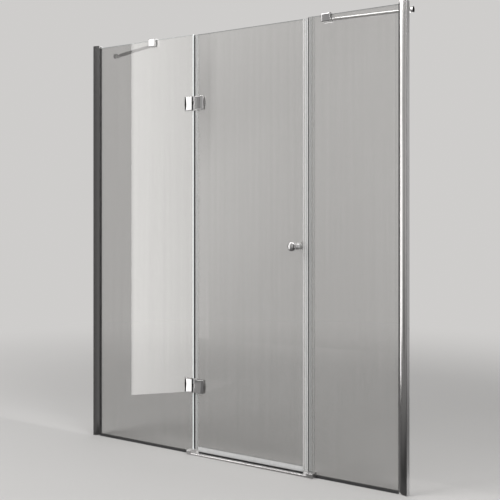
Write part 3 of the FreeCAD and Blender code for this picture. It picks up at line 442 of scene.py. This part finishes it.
rubber = moulded("black_rubber", dark=(0.018, 0.018, 0.018), pale=(0.05, 0.05, 0.052),
                 roughness=0.62, grain_scale=1500, grain_depth=0.0002)
magnet = moulded("magnet_strip", dark=(0.55, 0.54, 0.54), pale=(0.66, 0.65, 0.65),
                 roughness=0.7, grain_scale=1200, grain_depth=0.0002)
pad = moulded("clamp_pad_plastic", dark=(0.50, 0.51, 0.51), pale=(0.62, 0.63, 0.63),
              roughness=0.5, grain_scale=900, grain_depth=0.0001)
nylon = moulded("bearing_nylon", dark=(0.72, 0.72, 0.68), pale=(0.84, 0.84, 0.80),
                roughness=0.42, grain_scale=900, grain_depth=0.0001)
print("made", [m.name for m in (rubber, magnet, pad, nylon)])

# %% [markdown]
# Screws and pins are stainless steel with turning marks, and the hidden wall channels are mill-finish
# aluminium with draw lines along their length. The wall profiles and the threshold are brightened
# aluminium: smoother, yet softer than chrome. The end pieces of the threshold are satin, with a grain that
# runs no particular way. All are metals with a grain, so their roughness follows a noise, which is
# stretched along the lines.

# %% Steel and aluminium
TURNED = (1, 0.1, 1)
DRAWN_UP = (1, 1, 0.01)
DRAWN_ACROSS = (0.01, 1, 1)
NO_LINES = (1, 1, 1)
BRIGHT = {"dark": (0.82, 0.81, 0.81), "pale": (0.88, 0.87, 0.87), "roughness": 0.10, "spread": 0.10}


def drawn_metal(name, dark, pale, stretch, roughness, spread=0.15):
    """A grained metal, whose roughness rises by up to spread along its lines."""
    material, bench = new_finish(name)
    lines = noise(bench, scale=900, stretch=stretch, detail=3.0)
    tarnish = noise(bench, scale=40, detail=3.0)
    metal = bench.add("ShaderNodeBsdfPrincipled", {}, {
        "Base Color": colours(bench, tarnish, dark, pale),
        "Metallic": 1.0,
        "Roughness": roughness + spread * lines,
        "Normal": relief(bench, lines, depth=0.0001, strength=0.4),
    })
    show(bench, metal)
    return material


steel = drawn_metal("stainless_steel", dark=(0.52, 0.51, 0.50), pale=(0.64, 0.63, 0.62),
                    stretch=TURNED, roughness=0.2)
aluminium = drawn_metal("mill_aluminium", dark=(0.66, 0.66, 0.67), pale=(0.76, 0.76, 0.77),
                        stretch=DRAWN_UP, roughness=0.28)
bright_upright = drawn_metal("bright_profile", stretch=DRAWN_UP, **BRIGHT)
bright_level = drawn_metal("bright_threshold", stretch=DRAWN_ACROSS, **BRIGHT)
satin = drawn_metal("satin_end_piece", dark=(0.86, 0.85, 0.85), pale=(0.92, 0.91, 0.91),
                    stretch=NO_LINES, roughness=0.20)
print("made", [m.name for m in (steel, aluminium, bright_upright, bright_level, satin)])

# %% [markdown]
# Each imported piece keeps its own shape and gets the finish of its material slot. One table says which
# finish a slot takes, and a second one names the pieces that differ from the rest of their slot. A finish
# could be set piece by piece, but two short tables are easier to check.

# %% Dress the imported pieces
FINISHES = {
    "chrome": chrome,
    "steel": steel,
    "glass": clipped_glass,
    "channel": aluminium,
    "rubber": rubber,
    "clear_seal": closing_vinyl,
    "magnet": magnet,
    "soft_pad": pad,
    "bush": nylon,
}
OWN_FINISHES = {
    "outer_knob": knob_chrome,
    "inner_knob": knob_chrome,
    "left_fixed_glass": free_edged_glass,
    "panel_magnet_seal": shaded_panel_vinyl,
    "door_hinge_seal": hinge_vinyl,
    "door_bottom_sweep": sweep_vinyl,
    "threshold_bar": bright_level,
    "left_threshold_end": satin,
    "right_threshold_end": satin,
    "left_wall_profile": bright_upright,
    "right_wall_profile": bright_upright,
    "left_profile_cap": bright_upright,
    "right_profile_cap": bright_upright,
}
for name, piece in nodes.items():
    piece.data.materials.clear()
    piece.data.materials.append(OWN_FINISHES.get(name) or FINISHES[slot_of[name]])
used = {piece.data.materials[0].name for piece in nodes.values()}
print("dressed", len(nodes), "pieces in", len(used), "finishes")

# %% [markdown]
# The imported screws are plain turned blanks. Their sockets are made here, once for each kind, and planted
# where the blanks stand. Their places could be typed in, but each blank is a separate solid of one packed
# piece, so its place and its size can be read from the box round that solid.

# %% Where the screws stand
WELD = 1e-6


def solids_of(name):
    """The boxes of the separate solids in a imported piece, as pairs of low and high corners."""
    shape = bmesh.new()
    shape.from_mesh(nodes[name].data)
    shape.transform(nodes[name].matrix_world)
    bmesh.ops.remove_doubles(shape, verts=shape.verts, dist=WELD)
    waiting = set(shape.verts)
    boxes = []
    while waiting:
        edge_of_solid = [waiting.pop()]
        corners = []
        while edge_of_solid:
            vertex = edge_of_solid.pop()
            corners.append(vertex.co.copy())
            beside = {edge.other_vert(vertex) for edge in vertex.link_edges} & waiting
            waiting -= beside
            edge_of_solid += beside
        low = Vector([min(values) for values in zip(*corners)])
        high = Vector([max(values) for values in zip(*corners)])
        boxes.append((low, high))
    shape.free()
    return sorted(boxes, key=lambda box: tuple(box[0]))


def outer_ends(boxes):
    """The middle of each solid's end on the shower side, y > 0."""
    return [((low.x + high.x) / 2, high.y, (low.z + high.z) / 2) for low, high in boxes]


for name in ("hinge_fixed_screws", "hinge_door_screws", "strut_clamp_screws", "profile_screws"):
    print(name, len(solids_of(name)), "solids")

# %% [markdown]
# A geometry tree grows one screw along its own z axis, with the outer end of the blank at z = 0, and plants
# a copy on every point. Screws could be modelled one by one, but a tree with named sizes serves every size.
# The copies are turned so that z becomes +Y, and each is spun by chance about its axis, as screws end up
# when they are tightened. A fixed seed keeps the chance the same on every run.

# %% What every screw tree shares
def new_tree(name, sizes):
    """An empty geometry tree with a cloud of points in, a mesh out and one named input for each size."""
    tree = bpy.data.node_groups.new(name, "GeometryNodeTree")
    tree.interface.new_socket("Geometry", in_out="OUTPUT", socket_type="NodeSocketGeometry")
    tree.interface.new_socket("Geometry", in_out="INPUT", socket_type="NodeSocketGeometry")
    for size in sizes:
        tree.interface.new_socket(size, in_out="INPUT", socket_type="NodeSocketFloat")
    tree.interface.new_socket("Seed", in_out="INPUT", socket_type="NodeSocketInt")
    tree.interface.new_socket("Finish", in_out="INPUT", socket_type="NodeSocketMaterial")
    return tree, Bench(tree)


def given(bench, name):
    """One of the tree's named inputs."""
    return bench.add("NodeGroupInput", out=name)


def raised(bench, mesh, height):
    """A mesh moved along z."""
    move = bench.add("ShaderNodeCombineXYZ", {}, {"Z": height})
    return bench.add("GeometryNodeTransform", {}, {"Geometry": mesh, "Translation": move})


def cylinder(bench, sides, radius, depth, middle):
    """A cylinder along z with its middle at this height."""
    sockets = {"Vertices": sides, "Radius": radius, "Depth": depth}
    return raised(bench, bench.add("GeometryNodeMeshCylinder", {}, sockets), middle)


def united(bench, meshes):
    """Meshes joined into one solid."""
    return bench.add("GeometryNodeMeshBoolean", {"operation": "UNION"}, {1: meshes})


def cut(bench, mesh, tools):
    """A mesh with the tools cut out of it."""
    return bench.add("GeometryNodeMeshBoolean", {"operation": "DIFFERENCE"}, {0: mesh, 1: tools})


def plant(bench, shape):
    """Ends a tree: one copy of the shape on each point, realised as a single mesh in its finish."""
    spin = bench.add("FunctionNodeRandomValue", {"data_type": "FLOAT"},
                     {2: 0.0, 3: math.tau, 8: given(bench, "Seed")}, out=1)
    turn = bench.add("ShaderNodeCombineXYZ", {}, {"X": -math.pi / 2, "Y": spin})
    copies = bench.add("GeometryNodeInstanceOnPoints", {}, {
        "Points": given(bench, "Geometry"),
        "Instance": shape,
        "Rotation": turn,
    })
    real = bench.add("GeometryNodeRealizeInstances", {}, {"Geometry": copies})
    done = bench.add("GeometryNodeSetMaterial", {}, {"Geometry": real, "Material": given(bench, "Finish")})
    bench.add("NodeGroupOutput", {}, {"Geometry": done})


print("tree helpers ready")

# %% [markdown]
# Two kinds of screw are needed. The first is turned with a hexagon socket: a chamfered head on a thinner
# shank, or a set screw where both are of one width. The second is a raised countersunk screw with a cross
# recess, made from a flattened ball and a stem. Sockets and recesses are real cuts, because a bump would
# look flat from the side.

# %% Trees of the two screws
ROUND_SIDES = 40
HEX_SIDES = 6
DOME_RINGS = 16


def socket_screw_tree():
    """A headed screw or a set screw with a chamfered rim and a hexagon socket."""
    sizes = ("Head radius", "Head height", "Chamfer", "Socket radius", "Socket depth", "Shank radius",
             "Shank length")
    tree, bench = new_tree("socket_screw", sizes)
    radius, height, chamfer, socket, depth, shank, length = [given(bench, size) for size in sizes]
    rim = bench.add("GeometryNodeMeshCone", {}, {
        "Vertices": ROUND_SIDES,
        "Radius Top": radius - chamfer,
        "Radius Bottom": radius,
        "Depth": chamfer,
    })
    head = cylinder(bench, ROUND_SIDES, radius, height - chamfer, -0.5 * (height + chamfer))
    stem = cylinder(bench, ROUND_SIDES, shank, length, -1 * height - 0.5 * length)
    blank = united(bench, [raised(bench, rim, -1 * chamfer), head, stem])
    plant(bench, cut(bench, blank, [cylinder(bench, HEX_SIDES, socket, 2 * depth, 0.0)]))
    return tree


def cross_screw_tree():
    """A raised countersunk screw whose low dome carries a cross recess."""
    sizes = ("Head radius", "Head height", "Cross length", "Cross width", "Cross depth", "Shank radius",
             "Shank length")
    tree, bench = new_tree("cross_screw", sizes)
    radius, height, cross, width, depth, shank, length = [given(bench, size) for size in sizes]
    ball_sizes = {"Segments": ROUND_SIDES, "Rings": DOME_RINGS, "Radius": radius}
    ball = bench.add("GeometryNodeMeshUVSphere", {}, ball_sizes)
    squash = bench.add("ShaderNodeCombineXYZ", {}, {"X": 1.0, "Y": 1.0, "Z": height / radius})
    dome = bench.add("GeometryNodeTransform", {}, {"Geometry": ball, "Scale": squash})
    stem = cylinder(bench, ROUND_SIDES, shank, length, -0.5 * length)
    arms = []
    for long_x, long_y in ((cross, width), (width, cross)):
        size = bench.add("ShaderNodeCombineXYZ", {}, {"X": long_x, "Y": long_y, "Z": 2 * depth})
        arms.append(raised(bench, bench.add("GeometryNodeMeshCube", {}, {"Size": size}), height))
    plant(bench, cut(bench, united(bench, [dome, stem]), arms))
    return tree


socket_screws = socket_screw_tree()
cross_screws = cross_screw_tree()
print("trees:", socket_screws.name, "and", cross_screws.name)

# %% [markdown]
# A tree could stay live as a modifier, but a plain mesh is what goes out of Blender. So the tree runs once on
# a cloud of points, the outcome is kept as a mesh, and the modifier is taken off. The new piece rides on the
# same body as the blanks, takes the steel finish and stands for them. Its sizes come from the blanks, less a
# hair of clearance, so that a screw doesn't touch the wall of its hole.

# %% Screws in place of the blanks
CLEARANCE = 0.05e-3
SHARP_FROM = 30


def grow(name, tree, places, values):
    """Runs a tree on a cloud of points and keeps the outcome as one plain mesh object."""
    cloud = bpy.data.meshes.new(name)
    cloud.from_pydata(places, [], [])
    piece = bpy.data.objects.new(name, cloud)
    bpy.context.scene.collection.objects.link(piece)
    modifier = piece.modifiers.new(name, "NODES")
    modifier.node_group = tree
    for socket in tree.interface.items_tree:
        if socket.name in values:
            modifier[socket.identifier] = values[socket.name]
    grown = piece.evaluated_get(bpy.context.evaluated_depsgraph_get())
    mesh = bpy.data.meshes.new_from_object(grown)
    piece.modifiers.remove(modifier)
    piece.data = mesh
    mesh.shade_smooth()
    mesh.set_sharp_from_angle(angle=math.radians(SHARP_FROM))
    return piece


def fasten(name, tree, values, seed):
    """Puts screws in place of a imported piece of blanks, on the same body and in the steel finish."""
    boxes = solids_of(name)
    values = {**values, "Seed": seed, "Finish": steel}
    piece = grow(f"{name}_detail", tree, outer_ends(boxes), values)
    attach(piece, body_of[name])
    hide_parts(name)
    print(piece.name, len(boxes), "screws,", len(piece.data.polygons), "faces")


def half_width(name):
    """The widest radius of a blank, less the clearance."""
    low, high = solids_of(name)[0]
    return (high.x - low.x) / 2 - CLEARANCE


def whole_length(name):
    """The length of a blank, from its outer end to its tip."""
    low, high = solids_of(name)[0]
    return high.y - low.y


print("ready to fasten")

# %% [markdown]
# Each leaf of a hinge is held by two socket head screws, sunk in its shower-side plate. They could be
# copies of one mesh, but the leaves belong to two bodies, so the tree runs once for each body.

# %% Hinge screws
HINGE_HEAD = 3.5e-3
for name, seed in (("hinge_fixed_screws", 3), ("hinge_door_screws", 8)):
    head = half_width(name)
    fasten(name, socket_screws, {
        "Head radius": head,
        "Head height": HINGE_HEAD,
        "Chamfer": 0.1 * head,
        "Socket radius": 0.52 * head,
        "Socket depth": 0.55 * HINGE_HEAD,
        "Shank radius": 0.55 * head,
        "Shank length": whole_length(name) - HINGE_HEAD,
    }, seed)

# %% [markdown]
# A set screw presses each strut clamp on the glass, and small cross-head screws lock the wall profiles on
# their channels. A set screw has no head, so the socket screw's tree makes it with a head and a shank of
# one width. All of these screws face the shower, where a key or a screwdriver can reach them.

# %% Set screws and locking screws
set_radius = half_width("strut_clamp_screws")
set_length = whole_length("strut_clamp_screws")
fasten("strut_clamp_screws", socket_screws, {
    "Head radius": set_radius,
    "Head height": 0.5 * set_length,
    "Chamfer": 0.15 * set_radius,
    "Socket radius": 0.58 * set_radius,
    "Socket depth": 0.8 * set_radius,
    "Shank radius": set_radius,
    "Shank length": 0.5 * set_length,
}, seed=5)

lock_radius = half_width("profile_screws")
fasten("profile_screws", cross_screws, {
    "Head radius": 1.8 * lock_radius,
    "Head height": 1.1 * lock_radius,
    "Cross length": 1.9 * lock_radius,
    "Cross width": 0.4 * lock_radius,
    "Cross depth": 0.6 * lock_radius,
    "Shank radius": lock_radius,
    "Shank length": whole_length("profile_screws"),
}, seed=11)

# %% [markdown]
# The studio is a large pale floor that fades into the backdrop, so no horizon shows. A sheet bent up behind
# the door would hide the horizon from one side only. A round floor, whose colour turns into the backdrop's
# with distance from the object, does it from all sides.

# %% Floor
BACKDROP = (0.62, 0.61, 0.60)
FLOOR_RADIUS = 14.0
FADE_FROM = 1.6
FADE_OVER = 3.0
FLOOR_SIDES = 96
FLOOR_DROP = 0.0003


def pale_floor():
    """A pale speckled floor that fades into the backdrop."""
    material, bench = new_finish("studio_floor")
    place = bench.add("ShaderNodeTexCoord", out="Object")
    far = bench.add("ShaderNodeVectorMath", {"operation": "LENGTH"}, {0: place}, out="Value")
    fade = bench.add("ShaderNodeMapRange", {"interpolation_type": "SMOOTHSTEP"}, {
        "Value": far,
        "From Min": FADE_FROM,
        "From Max": FADE_FROM + FADE_OVER,
    })
    speckle = noise(bench, scale=220, detail=2.0)
    ground = bench.add("ShaderNodeBsdfPrincipled", {}, {
        "Base Color": colours(bench, speckle, (0.60, 0.59, 0.58), (0.64, 0.63, 0.62)),
        "Roughness": 0.55,
        "Specular IOR Level": 0.2,
    })
    distance = bench.add("ShaderNodeEmission", {}, {"Color": (*BACKDROP, 1.0)})
    show(bench, mixed(bench, fade, ground, distance))
    return material


floor_mesh = bpy.data.meshes.new("studio_floor")
shape = bmesh.new()
bmesh.ops.create_circle(shape, cap_ends=True, radius=FLOOR_RADIUS, segments=FLOOR_SIDES)
bmesh.ops.translate(shape, verts=shape.verts, vec=(0, 0, cad_low.z - FLOOR_DROP))
shape.to_mesh(floor_mesh)
shape.free()
floor_mesh.materials.append(pale_floor())
floor = bpy.data.objects.new("studio_floor", floor_mesh)
bpy.context.scene.collection.objects.link(floor)
print("floor radius", FLOOR_RADIUS, "m")

# %% [markdown]
# The backdrop is the world itself, so it needs no mesh and is there from every side. It is at the same
# level for the camera, for mirrors and for glass, and it lights everything else a little more dimly.

# %% Backdrop
AMBIENT = (0.55, 0.55, 0.55)

world = bpy.data.worlds.new("studio")
world.use_nodes = True
bpy.context.scene.world = world
sky = Bench(world.node_tree)
seen = sky.add("ShaderNodeLightPath", out="Is Camera Ray")
mirrored = sky.add("ShaderNodeLightPath", out="Is Glossy Ray")
through_glass = sky.add("ShaderNodeLightPath", out="Is Transmission Ray")
level = colours(sky, seen + mirrored + through_glass, AMBIENT, BACKDROP)
background = sky.add("ShaderNodeBackground", {}, {"Color": level, "Strength": 1.0})
sky.add("ShaderNodeOutputWorld", {}, {"Surface": background})
print("backdrop", BACKDROP, "ambient", AMBIENT)

# %% [markdown]
# Chrome and glass are lit by what they mirror, so a studio places pale cards and dark flags around them. A
# picture wrapped round the world could do the same, but cards are simple and easy to shift. Each card is a
# sheet between a few points, and every point glows at its own level, so one card can fade from pale to dark.
# The cards show only in reflections: they are hidden from the camera and from diffuse light and cast no
# shadow.

# %% Cards that mirrors see
CARD_TINT = (1.0, 0.985, 0.97)
CARD_LIFT = 0.002


def card_glow():
    """The light of the cards, as strong at each point as the card's level there."""
    material, bench = new_finish("card_glow")
    level = bench.add("ShaderNodeAttribute", {"attribute_name": "level"}, out="Fac")
    light = bench.add("ShaderNodeVectorMath", {"operation": "SCALE"}, {0: CARD_TINT, "Scale": level})
    show(bench, bench.add("ShaderNodeEmission", {}, {"Color": light}))
    return material


glow = card_glow()


def card(name, rows, levels):
    """A sheet between rows of points; levels has a row of numbers for each row of points."""
    width = len(rows[0])
    quads = []
    for row in range(len(rows) - 1):
        for corner in range(row * width, row * width + width - 1):
            quads.append((corner, corner + 1, corner + width + 1, corner + width))
    mesh = bpy.data.meshes.new(name)
    mesh.from_pydata(sum(rows, []), [], quads)
    mesh.attributes.new("level", "FLOAT", "POINT").data.foreach_set("value", sum(levels, []))
    mesh.materials.append(glow)
    piece = bpy.data.objects.new(name, mesh)
    bpy.context.scene.collection.objects.link(piece)
    piece.visible_camera = False
    piece.visible_diffuse = False
    piece.visible_shadow = False
    piece.visible_transmission = False


def upright(stations, heights):
    """Rows of points for an upright card over these stations in plan."""
    return [[(x, y, z) for x, y in stations] for z in heights]


def lying(xs, ys, lift=CARD_LIFT):
    """Rows of points for a card that lies on the floor."""
    return [[(x, y, lift) for x in xs] for y in ys]


print("card helpers ready")

# %% [markdown]
# Seen at a slant from the right, the panes mirror what stands at the left. A bright card close by gives the
# left pane its sheen and the hinges their white leaves. A dark flag stands right beside the left profile,
# where it darkens the metal and the outer part of the pane, and its front end slants in towards the glass.
# Further out, a dim card and a white one close the left side.

# %% Cards on the left
CARD_FOOT = 0.02
CARD_TOP = 3.2
FLAG_TOP = 2.6
FLAG_GAP = 0.002
LEFT_CORNER = (-2.9, -1.54)

near_stations = [(-1.2, -0.73), (-0.93, -1.02)]
card("near_white_card", upright(near_stations, [0.0, CARD_TOP]), [[2.0, 1.3]] * 2)
flag_x = cad_low.x - FLAG_GAP
flag_stations = [(-0.665, -0.11), (flag_x, -0.28), (flag_x, 0.25)]
card("wall_flag", upright(flag_stations, [0.0, FLAG_TOP]), [[0.10, 0.10, 0.04]] * 2)
side_stations = [(-3.1, 0.9), LEFT_CORNER]
card("side_card", upright(side_stations, [CARD_FOOT, CARD_TOP]), [[0.12, 0.12]] * 2)
white_stations = [LEFT_CORNER, (-2.08, -2.60)]
card("white_card", upright(white_stations, [CARD_FOOT, CARD_TOP]), [[1.2, 1.1]] * 2)
print("cards on the left ready")

# %% [markdown]
# The door and the right pane mirror the front. The card there grows darker towards the floor, which gives
# the panes their slow fade from top to bottom. Its left end, and a narrow flag beside it, are dark at the
# height that the upper hinge looks at, so that the hinge's right plate reads as grey metal. Right of its
# middle it steps up to a paler stretch, which the right profile mirrors, and a nearly black flag follows.

# %% Cards in front
FRONT_TOP = 6.0
FRONT_START = (-1.93, -2.63)
FRONT_END = (0.9, -2.96)

hinge_flag_stations = [(-2.07, -2.61), FRONT_START]
hinge_flag_heights = [CARD_FOOT, 1.4, 1.95, 2.2, 2.6, CARD_TOP]
card("hinge_flag", upright(hinge_flag_stations, hinge_flag_heights), [
    [0.60, 0.50],
    [0.80, 0.66],
    [0.26, 0.15],
    [0.26, 0.15],
    [0.60, 0.60],
    [0.60, 0.60],
])
front_stations = [
    FRONT_START,
    (-1.86, -2.64),
    (-1.1, -2.73),
    (-0.8, -2.76),
    (-0.36, -2.81),
    (-0.28, -2.82),
    FRONT_END,
]
front_heights = [CARD_FOOT, 0.9, 1.4, 1.95, 2.2, 2.6, FRONT_TOP]
card("front_card", upright(front_stations, front_heights), [
    [0.30, 0.28, 0.08, 0.08, 0.12, 0.24, 0.34],
    [0.58, 0.56, 0.22, 0.20, 0.28, 0.44, 0.45],
    [0.66, 0.64, 0.28, 0.24, 0.32, 0.44, 0.45],
    [0.15, 0.46, 0.30, 0.30, 0.35, 0.42, 0.48],
    [0.15, 0.54, 0.32, 0.30, 0.36, 0.42, 0.50],
    [0.60, 0.74, 0.45, 0.24, 0.33, 0.40, 0.55],
    [0.60, 0.60, 0.45, 0.24, 0.35, 0.40, 0.55],
])
front_flag_stations = [FRONT_END, (2.3, -3.1)]
card("front_flag", upright(front_flag_stations, [CARD_FOOT, FRONT_TOP]), [[0.06, 0.06]] * 2)
print("cards in front ready")

# %% [markdown]
# A dark card closes the right side. Behind the door, at the right, stands a grey card with a black one
# above it. A pale card behind the glass, which fades to the backdrop's level at its borders, brightens the
# struts and the rims of the knob and the upper hinge. A very bright strip high up in front draws a line along
# the struts.

# %% Cards on the right, behind and high up
BORDER = BACKDROP[0]
KNOB_LIGHT = 1.80
BACK_TOP = 2.6
BLACK_TOP = 4.0

card("right_card", upright([(2.9, -1.4), (2.9, 2.2)], [CARD_FOOT, CARD_TOP]), [[0.10, 0.05]] * 2)
back_stations = [(1.30, 3.30), (2.80, 2.30)]
card("back_card", upright(back_stations, [CARD_FOOT, BACK_TOP]), [[0.45, 0.45]] * 2)
card("black_card", upright(back_stations, [BACK_TOP, BLACK_TOP]), [[0.02, 0.02]] * 2)
knob_stations = [(-1.1, 1.5), (-0.3, 1.5), (0.4, 1.5), (1.2, 1.5)]
card("knob_card", upright(knob_stations, [0.9, 1.5, 2.2, 3.0]), [
    [BORDER, BORDER, BORDER, BORDER],
    [BORDER, KNOB_LIGHT, KNOB_LIGHT, BORDER],
    [BORDER, KNOB_LIGHT, KNOB_LIGHT, BORDER],
    [BORDER, BORDER, BORDER, BORDER],
])
card("high_card", upright([(-1.8, -0.8), (1.8, -0.8)], [2.25, 2.95]), [[6.0, 6.0]] * 2)
print("cards on the right, behind and high up ready")

# %% [markdown]
# Some dark lines on bright metal come from things close to it. The lines could be painted on the metal, but
# then they would stay put when the door is seen from elsewhere. So a narrow dark flag stands beside the right
# profile, which mirrors it as a thin line over its whole height. A small black sheet with a bowed front edge
# stands beside each hinge, and the falling end of the fixed leaf mirrors it as a dark crescent.

# %% Shades close to the metal
PROFILE_FLAG_GAP = 0.021
PROFILE_FLAG_BACK = -0.0135
PROFILE_FLAG_FRONT = -0.024
SHADE_GAP = 0.008
SHADE_MARGIN = 0.004
SHADE_BACK = 0.002
SHADE_REACHES = (0.004, 0.015, 0.020, 0.015, 0.004)

profile_flag_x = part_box("right_wall_profile")[0].x - PROFILE_FLAG_GAP
profile_stations = [(profile_flag_x, PROFILE_FLAG_BACK), (profile_flag_x, PROFILE_FLAG_FRONT)]
card("profile_flag", upright(profile_stations, [cad_low.z, cad_high.z]), [[0.12, 0.12]] * 2)


def hinge_shade(hinge):
    """A black sheet to the left of a hinge's fixed leaf, a little taller than the leaf."""
    low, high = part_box(f"{hinge}_hinge_fixed_leaf")
    x = low.x - SHADE_GAP
    step = (high.z - low.z + 2 * SHADE_MARGIN) / (len(SHADE_REACHES) - 1)
    rows = []
    for index, reach in enumerate(SHADE_REACHES):
        z = low.z - SHADE_MARGIN + index * step
        rows.append([(x, low.y + SHADE_BACK, z), (x, low.y - reach, z)])
    card(f"{hinge}_hinge_shade", rows, [[0.02, 0.02]] * len(rows))


for hinge in ("upper", "lower"):
    hinge_shade(hinge)
print("profile flag at x =", round(profile_flag_x, 3), "and two hinge shades")

# %% [markdown]
# Low down, the panes and the metal mirror the floor. A bare pale floor would wash them out, so a card lies
# on it that is dark close to the door and darkest at the right. In front of the threshold it is paler, so
# that the bar stays bright. A small grey card lies where the lower hinge looks. Behind the door, another
# card darkens the floor and fades to the backdrop's level at its sides and its far end.

# %% Cards on the floor
FLOOR_CARD_END = -0.019
HINGE_GREY = 0.26

floor_xs = [-2.5, -0.6, -0.35, 0.25, 0.6, 2.0]
floor_ys = [-3.0, -1.9, -1.3, -0.2, -0.1, FLOOR_CARD_END]
card("floor_card", lying(floor_xs, floor_ys), [
    [0.30, 0.20, 0.18, 0.14, 0.05, 0.02],
    [0.22, 0.18, 0.17, 0.16, 0.06, 0.02],
    [0.16, 0.15, 0.15, 0.14, 0.05, 0.02],
    [0.06, 0.06, 0.06, 0.06, 0.04, 0.02],
    [0.04, 0.04, 0.27, 0.23, 0.06, 0.02],
    [0.04, 0.04, 0.26, 0.20, 0.06, 0.02],
])
hinge_floor_rows = lying([-1.05, -0.85], [-1.35, -0.97], lift=2 * CARD_LIFT)
card("hinge_floor_card", hinge_floor_rows, [[HINGE_GREY, HINGE_GREY]] * 2)
card("back_floor_card", lying([-2.6, -0.6, 0.9, 2.8], [0.2, 0.9, 2.2, 3.6]), [
    [BORDER, 0.30, 0.30, BORDER],
    [BORDER, 0.03, 0.03, BORDER],
    [BORDER, 0.03, 0.03, BORDER],
    [BORDER, BORDER, BORDER, BORDER],
])
print("cards on the floor ready")

# %% [markdown]
# Two large soft lamps light what isn't a mirror: a key from the upper left front and a fill from the
# right. Small lamps would do, but they throw hard shadows. The level is set so that a pale surface renders
# about as its colour is written. The lamps stay out of the reflections, where the cards do that work.

# %% Soft lamps
def soft_lamp(name, place, target, size, watts):
    """A square lamp that faces its target and isn't mirrored."""
    lamp = bpy.data.lights.new(name, "AREA")
    lamp.shape = "SQUARE"
    lamp.size = size
    lamp.energy = watts
    holder = bpy.data.objects.new(name, lamp)
    bpy.context.scene.collection.objects.link(holder)
    holder.location = place
    holder.rotation_euler = (Vector(target) - Vector(place)).to_track_quat("-Z", "Y").to_euler()
    holder.visible_glossy = False


middle = (cad_low + cad_high) / 2
soft_lamp("key_lamp", place=(-2.6, -3.4, 3.6), target=middle, size=2.4, watts=130)
soft_lamp("fill_lamp", place=(3.4, -1.8, 2.8), target=middle, size=2.2, watts=70)
print("lamps ready")

# %% [markdown]
# The camera stands in front of the door and to its right, at chest height, and looks level. It could be
# tilted to take in the whole door, but then the uprights would lean. The lens is shifted a little instead.

# %% Camera
CAMERA_PLACE = (1.851, -2.8741, 1.0742)
CAMERA_YAW = 31.627
LENS = 56.31
SHIFT = (0.003, -0.0693)

lens = bpy.data.cameras.new("camera")
lens.lens = LENS
lens.shift_x, lens.shift_y = SHIFT
camera = bpy.data.objects.new("camera", lens)
camera.location = CAMERA_PLACE
camera.rotation_euler = (math.radians(90), 0, math.radians(CAMERA_YAW))
bpy.context.scene.collection.objects.link(camera)
bpy.context.scene.camera = camera
bpy.context.scene.view_settings.view_transform = "Standard"
print("camera at", CAMERA_PLACE)
